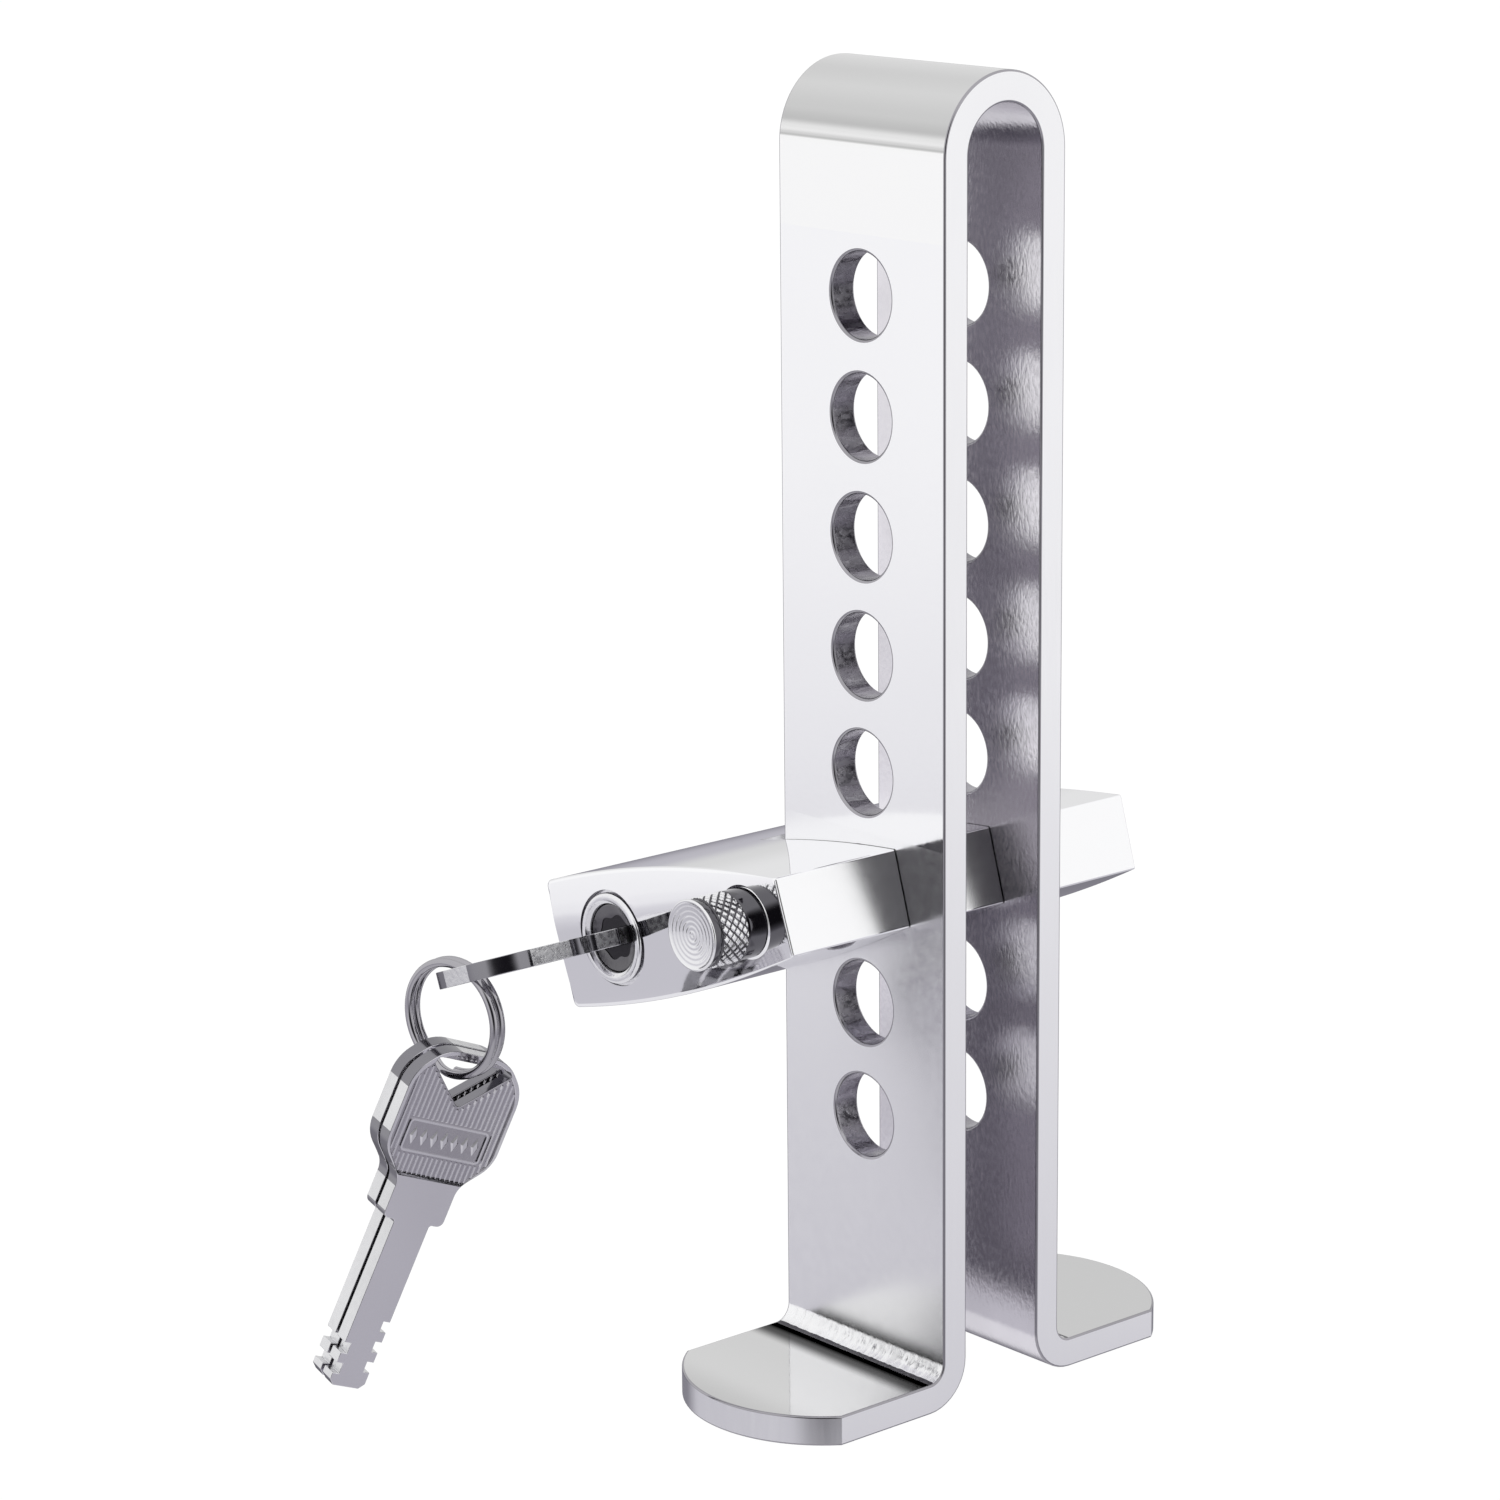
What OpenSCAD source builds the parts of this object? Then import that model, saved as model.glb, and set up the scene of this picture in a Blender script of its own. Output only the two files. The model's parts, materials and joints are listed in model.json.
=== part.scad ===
// Vehicle pedal lock: a bent steel strip drops over the pedal arm, and a
// three-pronged lock body is pinned through one pair of its holes.
// Units are millimetres. The origin is the centre of the bracket at the
// underside of its feet; +X runs across the strip and +Z is up.

/* [Bracket] */
// width of the steel strip
strip_w = 40; // [36:1:44]
// thickness of the steel strip
strip_t = 5.2; // [4.8:0.1:5.4]
// distance over the outer faces of the two legs
bracket_d = 26.8; // [26.4:0.1:27.2]
// height over everything
bracket_h = 224.4; // [215:1:250]
// radius of the holes in the legs
hole_r = 7.2; // [7:0.1:7.8]
// spacing of the holes
hole_pitch = 20; // [17:0.5:21]
// height of the lowest hole
hole_first_z = 47.5; // [44:0.5:52]
// reach of each rounded foot from the centre of the bracket
foot_reach = 47; // [44:0.5:56]

/* [Lock body] */
// number of the hole the pin goes through, counted from the bottom
pin_hole = 3; // [2:1:6]
// half of the length of the lock body, from face to face
body_half = 39.8; // [38:0.2:42]
// how far the web reaches to the left of the pin
body_left = 52; // [51:0.5:56]
// how far the prongs reach to the right of the pin
body_right = 10.3; // [9.5:0.1:12]
// half of the greatest height of the lock body
body_crown = 11.7; // [11.3:0.1:13]

/* [Pin] */
// radius of the pin rod
pin_r = 6.3; // [6:0.05:6.5]
// radius over the knurled knob
knob_r = 6; // [5.6:0.1:7]
// how far the knob stands out of the front face
knob_out = 11.2; // [9:0.2:16]

/* [Keys] */
// length of a key
key_len = 62; // [60:0.5:66]
// width of the bow of a key
bow_w = 22.4; // [20:0.2:25]
// thickness of a key
key_t = 2.9; // [2.4:0.1:3]
// how far the inserted key stands out of the front face
key_out = 33; // [32:0.5:36]

/* [Hidden] */
$fn = 64;

// clearances: running fits between round pieces, and the gap cut past a face
run_gap = 0.05;
slide_gap = 0.2;
cut = 1;

// ---- bracket ----
leg_out = bracket_d / 2;
leg_in = leg_out - strip_t;
hole_count = 8;
hole_flare = 0.5;
foot_bend_r = 3;
foot_bend_y = leg_out + foot_bend_r;
foot_bend_z = strip_t + foot_bend_r;
foot_sag = 10.5;
foot_arc_r = (strip_w * strip_w / 4 + foot_sag * foot_sag) / (2 * foot_sag);
top_bend_z = bracket_h - leg_out;

// ---- lock body, in its own tilted frame with the pin axis at the origin ----
pin_rest_gap = 0.1;
pin_drop = hole_r - pin_r - pin_rest_gap;
pivot_z = hole_first_z + (pin_hole - 1) * hole_pitch - pin_drop;
lock_tilt = 16.4;
crown_x = -38;
crown_r = 229;
prong_half = leg_in - slide_gap;
slot_out = leg_out + slide_gap;
corner_r = 2;
web_gap = 0.1;
web_x = -(strip_w / 2 + body_crown * sin(lock_tilt) + web_gap) / cos(lock_tilt);

// ---- pin ----
pin_bore_r = pin_r + run_gap;
pin_tip_y = 25;
tip_chamfer = 1;
pin_end_gap = 1.5;
pin_bore_y = pin_tip_y + pin_end_gap;
latch_r = 3;
groove_gap = 0.25;
groove_half = latch_r + groove_gap;
groove_depth = 2.1;
groove_r = pin_r - groove_depth;
seal_y = -30;
seal_wire = 0.9;
seal_r = pin_bore_r + seal_wire;
knob_neck = 3.6;
collar_step = 0.1;
collar_r = knob_r - collar_step;
collar_seat = 0.3;
knob_socket = 4;
knob_spigot_r = 2;
knob_rim = 0.7;
knob_dish = 0.4;
knob_tip_y = -body_half - knob_out;

// ---- lock cylinder, about its own axis parallel to the pin ----
cyl_x = -36.2;
shell_r = 8.4;
shell_bore_r = 5.9;
shell_groove_r = 6.8;
shell_proud = 0.3;
shell_front = -body_half - shell_proud;
shell_bevel = 0.5;
shell_mouth = 0.9;
shell_back = -9.8;
plug_r = shell_bore_r - run_gap;
plug_recess = 1.2;
plug_front = -body_half + plug_recess;
plug_cone = 1.4;
plug_back = -7.6;
key_lean = 4.5;
clip_y = -9.5;
clip_t = 0.8;
clip_in = 5.1;
clip_out = 7.2;
clip_mouth = 2;
tail_side = 4;
tail_len = 1.7;

// crank: its pin carries the latch 2.12 mm either side of the cylinder axis
crank_r = 5.4;
crank_t = 2.2;
crank_throw = 3;
crank_pin_r = 1.5;
crank_pin_back = 2;
crank_swing = 45;
screw_r = 1.5;
screw_shank_r = 0.9;
screw_len = 1.4;

// latch bolt: a round head worked by the crank, and a nose that meets the pin
head_r = 4.95;
head_half = 4.6;
fork_gap = 0.14;
head_slot_half = crank_pin_r + fork_gap;
head_slot_back = crank_pin_back + 2 * fork_gap;
latch_stroke = 2 * crank_throw * sin(crank_swing);
nose_gap = 0.15;
nose_x = -groove_r - nose_gap - latch_stroke;
head_x = cyl_x - latch_stroke / 2;
latch_bore_end = cyl_x + crank_throw + head_half;
bore_plug_len = 4;
bore_plug_x = 0.4 - body_left;

// pin from below that holds the cylinder in the body
hold_y = -24;
hold_r = 1.5;
hold_depth = 0.9;
hold_sunk = 0.5;

// ---- keys: across the key, then along it from the end of the bow ----
bow_len = 23.5;
bow_cut = 4.9;
neck_w = 12.2;
neck_end = 31;
blade_w = 7.2;
bit_depth = 1.3;
bit_len = 1.9;
right_bits_from = 3.2;
left_bits_from = 2.2;
tip_len = 2;
tip_step = 1;
eye_round = 0.9;
eye_half = 6.86;
eye_near = 2.5;
eye_far = 8.66;
key_y = -body_half - key_out;
keyway_gap = 0.1;
keyway_end_gap = 0.5;
keyway_back = key_y + key_len + keyway_end_gap;

// ---- wafers ----
wafer_t = 0.9;
wafer_pitch = 3;
wafer_count = 3;
wafer_set_back = 4;
wafer_first_y = plug_front + wafer_set_back;
wafer_half = 3.9;
wafer_gap = 0.06;
wafer_stroke = 0.75;
window_gap = 0.15;
window_half = blade_w / 2 + wafer_stroke + window_gap;
window_z = key_t / 2 + window_gap;
ear_top = 5;
ear_x = 0.9;
ear_root = 0.5;
spring_z = 4.45;
spring_r = 0.5;
spring_wire = 0.12;
spring_len = 1.5;
spring_gap = 0.02;
spring_turns = 3;

// ---- split ring and the two spare keys that hang from it ----
wire_r = 0.78;
ring_r = 9.7;
ring_heading = 10;
ring_in_bow = [-7.8, key_y + 3.1, -6.6];
eye_hang = [-1, 4.7];
hang_turn = [-81, 21.4, 84];
key_2_gap = 0.2;
key_3_gap = 0.6;

// a point of the lock frame, and of the plug frame, in the bracket's frame
function in_bracket(p) =
    [p.x * cos(lock_tilt) - p.z * sin(lock_tilt), p.y,
     pivot_z + p.x * sin(lock_tilt) + p.z * cos(lock_tilt)];
function plug_to_lock(p) =
    [cyl_x + p.x * cos(key_lean) - p.z * sin(key_lean), p.y,
     p.x * sin(key_lean) + p.z * cos(key_lean)];
ring_centre = in_bracket(plug_to_lock(ring_in_bow));
ring_foot = ring_centre - [0, 0, ring_r];

module in_lock() { translate([0, 0, pivot_z]) rotate([0, -lock_tilt, 0]) children(); }
module in_plug() { in_lock() translate([cyl_x, 0, 0]) rotate([0, -key_lean, 0]) children(); }
module rod_y(y0, y1, r) { translate([0, y0, 0]) rotate([-90, 0, 0]) cylinder(h = y1 - y0, r = r); }
module rod_x(x0, x1, r) { translate([x0, 0, 0]) rotate([0, 90, 0]) cylinder(h = x1 - x0, r = r); }
// a turned piece about the Y axis, from a half outline of [radius, y] points
module turned(points) { rotate([-90, 0, 0]) rotate_extrude() polygon(points); }

module strip_side() {
    difference() {
        union() {
            translate([0, top_bend_z]) circle(leg_out);
            translate([-leg_out, foot_bend_z]) square([bracket_d, top_bend_z - foot_bend_z]);
            for (side = [0, 1]) mirror([side, 0]) {
                translate([foot_bend_y, 0]) square([foot_reach - foot_bend_y, strip_t]);
                translate([leg_in, 0]) square([foot_bend_y - leg_in, foot_bend_z]);
            }
        }
        translate([0, top_bend_z]) circle(leg_in);
        translate([-leg_in, -cut]) square([2 * leg_in, top_bend_z + cut]);
        for (side = [0, 1]) mirror([side, 0]) {
            translate([foot_bend_y, foot_bend_z]) circle(foot_bend_r);
            // the outside of the bend at the bottom of each leg
            difference() {
                translate([leg_in - cut, -cut]) square([foot_bend_y - leg_in + cut, foot_bend_z + cut]);
                translate([foot_bend_y, foot_bend_z]) circle(foot_bend_z);
            }
        }
    }
}

module foot_plan() {
    square([strip_w, 2 * (foot_reach - foot_arc_r)], center = true);
    for (side = [-1, 1])
        translate([0, side * (foot_reach - foot_arc_r)]) circle(foot_arc_r, $fn = 128);
}

// one straight cut through both legs, flared where it meets each face
module hole_pair() {
    turned([[0, -leg_out - cut], [hole_r + hole_flare + cut, -leg_out - cut],
            [hole_r, -leg_out + hole_flare], [hole_r, -leg_in - hole_flare],
            [hole_r + hole_flare, -leg_in], [hole_r + hole_flare, leg_in],
            [hole_r, leg_in + hole_flare], [hole_r, leg_out - hole_flare],
            [hole_r + hole_flare + cut, leg_out + cut], [0, leg_out + cut]]);
}

module bracket() color("silver") difference() {
    intersection() {
        translate([-strip_w / 2, 0, 0]) rotate([90, 0, 90]) linear_extrude(strip_w) strip_side();
        linear_extrude(bracket_h) foot_plan();
    }
    for (i = [0 : hole_count - 1]) translate([0, 0, hole_first_z + i * hole_pitch]) hole_pair();
}

// the lens between the two shallow arcs that form the top and the underside
module body_lens() {
    intersection() {
        translate([crown_x, body_crown - crown_r]) circle(crown_r, $fn = 360);
        translate([crown_x, crown_r - body_crown]) circle(crown_r, $fn = 360);
    }
}

// outline of the lock body seen from above, before its slots
module body_plan() {
    for (x = [corner_r - body_left, body_right - corner_r], y = [-1, 1])
        translate([x, y * (body_half - corner_r)]) circle(corner_r);
    translate([corner_r - body_left, -body_half])
        square([body_left + body_right - 2 * corner_r, 2 * body_half]);
    translate([-body_left, corner_r - body_half])
        square([body_left + body_right, 2 * (body_half - corner_r)]);
}

module lock_body() color("gainsboro") in_lock() difference() {
    intersection() {
        translate([0, body_half + cut, 0]) rotate([90, 0, 0])
            linear_extrude(2 * (body_half + cut)) body_lens();
        translate([0, 0, -body_crown - cut]) linear_extrude(2 * (body_crown + cut)) body_plan();
    }
    // the two slots that straddle the legs
    for (side = [0, 1]) mirror([0, side, 0])
        translate([web_x, prong_half, -body_crown - cut])
            cube([body_right - web_x + cut, slot_out - prong_half, 2 * (body_crown + cut)]);
    rod_y(-body_half - cut, pin_bore_y, pin_bore_r);
    rod_y(seal_y - seal_wire / 2 - run_gap, seal_y + seal_wire / 2 + run_gap, seal_r + run_gap);
    translate([cyl_x, 0, 0]) {
        rod_y(-body_half - cut, plug_back + slide_gap, shell_r + run_gap);
        rod_y(plug_back - cut, crank_pin_back + slide_gap, crank_r + slide_gap);
        translate([0, hold_y, 0]) mirror([0, 0, 1]) cylinder(h = body_crown + cut, r = hold_r);
    }
    rod_x(-body_left - cut, latch_bore_end, head_r + run_gap);
    rod_x(latch_bore_end - cut, 0, latch_r + run_gap);
}

module cylinder_shell() color("lightgrey") in_lock() translate([cyl_x, 0, 0]) difference() {
    turned([[shell_bore_r, shell_back], [shell_r, shell_back], [shell_r, shell_front + shell_bevel],
            [shell_r - shell_bevel, shell_front], [shell_bore_r + shell_mouth, shell_front],
            [shell_bore_r, shell_front + shell_mouth]]);
    // two grooves that take the wafers when the key is drawn
    rotate([0, -key_lean, 0])
        translate([-shell_groove_r, wafer_first_y - 1, -wafer_half - slide_gap])
            cube([2 * shell_groove_r, 2 * wafer_count * wafer_pitch, 2 * (wafer_half + slide_gap)]);
    translate([0, hold_y, hold_depth - shell_r]) mirror([0, 0, 1]) cylinder(h = shell_r, r = hold_r);
}

module cylinder_pin() color("grey") in_lock()
    translate([cyl_x, hold_y, hold_depth - shell_r]) mirror([0, 0, 1])
        cylinder(h = body_crown - shell_r + hold_depth - hold_sunk, r = hold_r);

module latch_bore_plug() color("silver") in_lock()
    rod_x(bore_plug_x, bore_plug_x + bore_plug_len, head_r + run_gap);

module pin_seal() color("#202022") in_lock()
    translate([0, seal_y, 0]) rotate([-90, 0, 0])
        rotate_extrude() translate([seal_r - seal_wire / 2, 0]) circle(seal_wire / 2);

module lock_pin() color("silver") in_lock() {
    turned([[0, knob_tip_y + knob_rim + knob_socket], [knob_spigot_r, knob_tip_y + knob_rim + knob_socket],
            [knob_spigot_r, -body_half - knob_neck], [collar_r, -body_half - knob_neck],
            [collar_r, -body_half + collar_seat], [pin_r, -body_half + 2 * collar_seat],
            [pin_r, -groove_half], [groove_r, -groove_half],
            [groove_r, groove_half], [pin_r, groove_half],
            [pin_r, pin_tip_y - tip_chamfer], [pin_r - tip_chamfer, pin_tip_y], [0, pin_tip_y]]);
}

module pin_knob() color("whitesmoke") in_lock()
    turned([[0, knob_tip_y + knob_dish], [knob_r - 2 * knob_rim, knob_tip_y + knob_dish / 2],
            [knob_r - knob_rim, knob_tip_y], [knob_r, knob_tip_y + knob_rim],
            [knob_r, -body_half - knob_neck], [knob_spigot_r, -body_half - knob_neck],
            [knob_spigot_r, knob_tip_y + knob_rim + knob_socket],
            [0, knob_tip_y + knob_rim + knob_socket]]);

module wafer_slots(i) {
    side = i % 2;
    translate([0, wafer_first_y + i * wafer_pitch, 0]) rotate([0, side * 180, 0]) {
        translate([0, -wafer_t / 2 - wafer_gap, 0])
            translate([-plug_r - cut, 0, -wafer_half - wafer_gap])
                cube([2 * (plug_r + cut), wafer_t + 2 * wafer_gap, 2 * (wafer_half + wafer_gap)]);
        translate([-wafer_stroke - wafer_gap, -wafer_t / 2 - wafer_gap, 0])
            cube([ear_x + wafer_stroke + 2 * wafer_gap, wafer_t + 2 * wafer_gap, ear_top + wafer_gap]);
        translate([0, 0, spring_z]) rod_x(0, ear_x + spring_len + wafer_gap, spring_r + spring_wire);
    }
}

module cylinder_plug() color("dimgrey") in_plug() difference() {
    union() {
        turned([[0, plug_back], [plug_r, plug_back], [plug_r, plug_front + plug_cone],
                [plug_r - plug_cone, plug_front], [0, plug_front]]);
        // square tail that drives the crank
        translate([-tail_side / 2, plug_back - cut, -tail_side / 2])
            cube([tail_side, tail_len + cut, tail_side]);
    }
    // keyway
    translate([-blade_w / 2 - keyway_gap, plug_front - cut, -key_t / 2 - keyway_gap])
        cube([blade_w + 2 * keyway_gap, keyway_back - plug_front + cut, key_t + 2 * keyway_gap]);
    for (i = [0 : 2 * wafer_count - 1]) wafer_slots(i);
    // groove for the clip
    turned([[clip_in, clip_y], [plug_r + cut, clip_y],
            [plug_r + cut, clip_y + clip_t], [clip_in, clip_y + clip_t]]);
    rod_y(plug_back - screw_len, plug_back + tail_len + cut, screw_shank_r);
}

module plug_clip() color("grey") in_plug() rotate([-90, 0, 0]) translate([0, 0, clip_y])
    linear_extrude(clip_t) difference() {
        circle(clip_out);
        circle(clip_in);
        translate([-clip_out, -clip_mouth / 2]) square([clip_out, clip_mouth]);
    }

module drive_crank() color("silver") in_plug() difference() {
    union() {
        rod_y(plug_back, plug_back + crank_t, crank_r);
        rotate([0, key_lean - crank_swing, 0]) translate([0, 0, crank_throw])
            rod_y(plug_back, crank_pin_back, crank_pin_r);
    }
    translate([-tail_side / 2, plug_back - cut, -tail_side / 2])
        cube([tail_side, tail_len + cut, tail_side]);
    rod_y(plug_back, plug_back + crank_t + cut, screw_r);
}

module crank_screw() color("dimgrey") in_plug()
    turned([[0, plug_back - screw_len], [screw_shank_r, plug_back - screw_len],
            [screw_shank_r, plug_back + tail_len], [screw_r, plug_back + tail_len],
            [screw_r, plug_back + crank_t], [0, plug_back + crank_t]]);

// a round-ended plate with a window for the key and an ear for its spring
module wafer() {
    translate([0, wafer_t / 2, 0]) rotate([90, 0, 0]) linear_extrude(wafer_t) difference() {
        union() {
            intersection() {
                circle(plug_r - wafer_gap);
                square([2 * plug_r, 2 * wafer_half], center = true);
            }
            translate([0, wafer_half - ear_root]) square([ear_x, ear_top - wafer_half + ear_root]);
        }
        square([2 * window_half, 2 * window_z], center = true);
    }
}

module wafer_set(side) {
    for (i = [side : 2 : 2 * wafer_count - 1])
        translate([0, wafer_first_y + i * wafer_pitch, 0]) rotate([0, side * 180, 0]) wafer();
}
module left_wafers() color("goldenrod") in_plug() wafer_set(0);
module right_wafers() color("darkgoldenrod") in_plug() wafer_set(1);

module wafer_springs() color("grey") in_plug()
    for (i = [0 : 2 * wafer_count - 1])
        translate([0, wafer_first_y + i * wafer_pitch, 0]) rotate([0, (i % 2) * 180, 0])
            translate([ear_x + spring_gap, 0, spring_z]) rotate([0, 90, 0])
                linear_extrude(spring_len, twist = -360 * spring_turns, slices = 8 * spring_turns, $fn = 4)
                    translate([spring_r - spring_wire, 0]) circle(spring_wire, $fn = 4);

module latch_bolt() color("silver") in_lock() difference() {
    union() {
        rod_x(head_x - head_half, head_x + head_half, head_r);
        rod_x(head_x, nose_x, latch_r);
    }
    translate([head_x - head_slot_half, -head_r - cut, -head_r - cut])
        cube([2 * head_slot_half, head_r + cut + head_slot_back, 2 * (head_r + cut)]);
}

// ends of the bits cut in one edge of the blade, counted from its tip
module blade_bits(first, count) {
    for (i = [0 : count - 1])
        translate([blade_w / 2 - bit_depth, key_len - first - i * 2 * bit_len - bit_len])
            square([bit_depth + cut, bit_len]);
}

module key_outline() {
    half = bow_w / 2;
    neck = neck_w / 2;
    difference() {
        union() {
            polygon([[bow_cut - half, 0], [half - bow_cut, 0], [half, bow_cut],
                     [half, bow_len - bow_cut], [neck, bow_len], [neck, neck_end], [-neck, neck_end],
                     [-neck, bow_len], [-half, bow_len - bow_cut], [-half, bow_cut]]);
            translate([-blade_w / 2, neck_end - cut])
                square([blade_w, key_len - tip_step - neck_end + cut]);
            translate([tip_step - blade_w / 2, key_len - tip_len])
                square([blade_w - 2 * tip_step, tip_len]);
        }
        // the three-cornered eye, with rounded corners
        hull() for (p = [[-eye_half, eye_near], [eye_half, eye_near], [0, eye_far]])
            translate(p) circle(eye_round, $fn = 32);
        blade_bits(right_bits_from, 3);
        mirror([1, 0]) blade_bits(left_bits_from, 2);
    }
}

module key_blank() { linear_extrude(key_t) key_outline(); }

module key_1() color("lightsteelblue") in_plug() translate([0, key_y, -key_t / 2]) key_blank();

module split_ring() color("silver") translate(ring_centre) rotate([90, 0, ring_heading])
    for (turn = [-1, 1]) translate([0, 0, turn * (wire_r - 0.02)])
        rotate_extrude() translate([ring_r, 0]) circle(wire_r, $fn = 32);

module spare_key(offset) {
    translate(ring_foot) rotate(hang_turn) translate([-eye_hang.x, -eye_hang.y, offset]) key_blank();
}
module key_2() color("lightsteelblue") spare_key(-key_2_gap - key_t);
module key_3() color("lightsteelblue") spare_key(key_3_gap);

bracket();
lock_body();
cylinder_shell();
cylinder_pin();
latch_bore_plug();
pin_seal();
lock_pin();
pin_knob();
cylinder_plug();
plug_clip();
drive_crank();
crank_screw();
left_wafers();
right_wafers();
wafer_springs();
latch_bolt();
key_1();
split_ring();
key_2();
key_3();
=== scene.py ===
"""Looks of a vehicle pedal lock: polished bracket, chromed lock, knurled pin, keys and split ring.

The shape functions work in millimetres, in the local frame of the part they belong to. A placing
matrix carries them into the shared frame, which is in metres.
"""

import json
import random
from math import asin, atan2, copysign, cos, hypot, pi, radians, sin, sqrt, tan

import bmesh
import bpy
from mathutils import Euler, Matrix, Vector


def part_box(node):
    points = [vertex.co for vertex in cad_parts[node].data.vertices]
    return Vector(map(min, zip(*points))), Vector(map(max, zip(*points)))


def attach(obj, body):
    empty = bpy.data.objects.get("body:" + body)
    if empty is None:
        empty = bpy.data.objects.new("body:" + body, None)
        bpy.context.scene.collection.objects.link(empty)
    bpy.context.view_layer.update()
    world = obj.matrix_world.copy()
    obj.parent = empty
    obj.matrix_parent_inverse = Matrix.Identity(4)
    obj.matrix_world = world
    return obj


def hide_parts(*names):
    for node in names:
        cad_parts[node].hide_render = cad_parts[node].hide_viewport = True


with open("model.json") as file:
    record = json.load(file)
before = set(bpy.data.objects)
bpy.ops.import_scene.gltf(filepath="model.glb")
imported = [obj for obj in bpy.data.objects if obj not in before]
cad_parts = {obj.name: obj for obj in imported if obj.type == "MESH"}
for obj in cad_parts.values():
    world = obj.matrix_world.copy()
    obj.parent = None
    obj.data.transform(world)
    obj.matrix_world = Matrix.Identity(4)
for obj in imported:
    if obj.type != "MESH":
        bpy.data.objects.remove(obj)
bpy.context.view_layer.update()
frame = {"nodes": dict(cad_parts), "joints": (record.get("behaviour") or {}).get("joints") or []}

MM = 0.001
JOINTS = {joint["name"]: joint for joint in frame["joints"]}


# ---- sizes, in millimetres

def spread_mm(node, axis):
    """How far a CAD node reaches along one axis of the frame."""
    low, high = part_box(node)
    return (high[axis] - low[axis]) / MM


# bracket
STRIP_W = spread_mm("bracket", 0)
STRIP_T = 5.2
BRACKET_H = spread_mm("bracket", 2)
FOOT_REACH = spread_mm("bracket", 1) / 2
LEG_OUT = 13.4
LEG_IN = LEG_OUT - STRIP_T
TOP_BEND_Z = BRACKET_H - LEG_OUT
FOOT_BEND_R = 3.0
FOOT_BEND_Y = LEG_OUT + FOOT_BEND_R
FOOT_BEND_Z = STRIP_T + FOOT_BEND_R
FOOT_SAG = 10.5
FOOT_ARC_R = (STRIP_W ** 2 / 4 + FOOT_SAG ** 2) / (2 * FOOT_SAG)
STRIP_EDGE_R = 0.35
HOLE_R = 7.2
HOLE_FLARE = 0.5
HOLE_PITCH = 20.0
HOLE_FIRST_Z = 47.5
HOLE_COUNT = 8

# lock body, with the pin's axis at x = z = 0
BODY_HALF = 39.8
BODY_LEFT = -52.0
BODY_RIGHT = 10.3
BODY_CROWN = 11.7
CROWN_X = -38.0
CROWN_R = 229.0
FACE_ROUND = 0.7
CRISP_ROUND = 0.4
CORNER_ROUND = 1.0
FACE_FALL = radians(3.4)
FACE_RIDGE_Z = 4.6
FACE_BELLY = 0.0045
FACE_BELLY_Z = -3.0
FACE_RIDGE_HALF = 0.8
FACE_FADE = 3.0
END_NARROWING = 0.88
PRONG_HALF = 8.0
SLOT_OUT = 13.6
WEB_X = -24.4

# pin and knob
PIN_R = 6.3
PIN_BORE_R = 6.35
PIN_BORE_END = 26.5
PIN_TIP_Y = 25.0
PIN_GROOVE_R = 4.2
PIN_GROOVE_HALF = 3.25
COLLAR_R = 5.9
COLLAR_FRONT = -43.4
KNOB_R = 6.0
KNOB_TIP_Y = -51.0
KNOB_SPIGOT_R = 2.0
KNOB_SPIGOT_Y = -46.3

# lock cylinder
CYLINDER_X = -36.2
SHELL_R = 8.4
SHELL_BORE_R = 5.9
SHELL_FRONT = -40.1
SHELL_BACK = -9.8
PLUG_FRONT = -38.6
SHELL_GROOVE_R = 6.8
GROOVE_START = -35.6
GROOVE_END = -17.6
GROOVE_HALF = 4.1
HOLD_R = 1.5
HOLD_Y = -24.0
HOLD_DEPTH = 0.9

# bores in the lock body: the cylinder and its crank along Y, the latch bolt along X
CYLINDER_BORE_R = SHELL_R + 0.05
CYLINDER_BORE_END = -7.4
CRANK_BORE_R = 5.6
CRANK_BORE_END = 2.2
LATCH_BORE_R = 5.0
LATCH_BORE_END = -28.6
LATCH_GUIDE_R = 3.05
CUT_OVERLAP = 0.1
CUT_BEYOND = 2.0

# keys: x across the key, y along it from the end of the bow
KEY_LEN = 62.0
KEY_T = 2.9
KEY_BOW_HALF = 11.2
KEY_BOW_LEN = 23.5
KEY_BOW_CUT = 4.9
KEY_NECK_HALF = 6.1
KEY_NECK_END = 31.0
KEY_BLADE_HALF = 3.6
KEY_OUT = 72.8
EYE_ROUND = 0.9
EYE_HALF = 6.86
EYE_NEAR = 2.5
EYE_FAR = 8.66
BIT_DEPTH = 1.3
BIT_LEN = 1.9
KEY_2_GAP = 0.2
KEY_3_GAP = 0.6
EYE_HANG = Vector((-1.0, 4.7, 0.0))
SPARE_TURN = Euler([radians(a) for a in (-81.0, 21.4, 84.0)])

# split ring
RING_R = 9.7
WIRE_R = 0.78
WIRE_SINK = 0.02
RING_ENDS_AT = radians(-115)
COIL_START = radians(20)
COIL_END = radians(700)
CROSSING_START = radians(340)
CROSSING_SPAN = radians(40)


# ---- placings

def placing_of(origin, x_axis, y_axis):
    """Matrix from millimetres about an origin, along two axes, to the frame's metres."""
    x = Vector(x_axis).normalized()
    y = Vector(y_axis).normalized()
    turn = Matrix((x, y, x.cross(y))).transposed().to_4x4()
    return Matrix.Translation(Vector(origin)) @ turn @ Matrix.Scale(MM, 4)


ALONG_Y = (0.0, 1.0, 0.0)
IN_BRACKET = Matrix.Scale(MM, 4)
IN_LOCK = placing_of(JOINTS["lock_swing"]["pos_m"], JOINTS["latch_slide"]["axis"], ALONG_Y)
IN_PLUG = placing_of(JOINTS["key_turn"]["pos_m"], JOINTS["right_wafers_slide"]["axis"], ALONG_Y)


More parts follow.
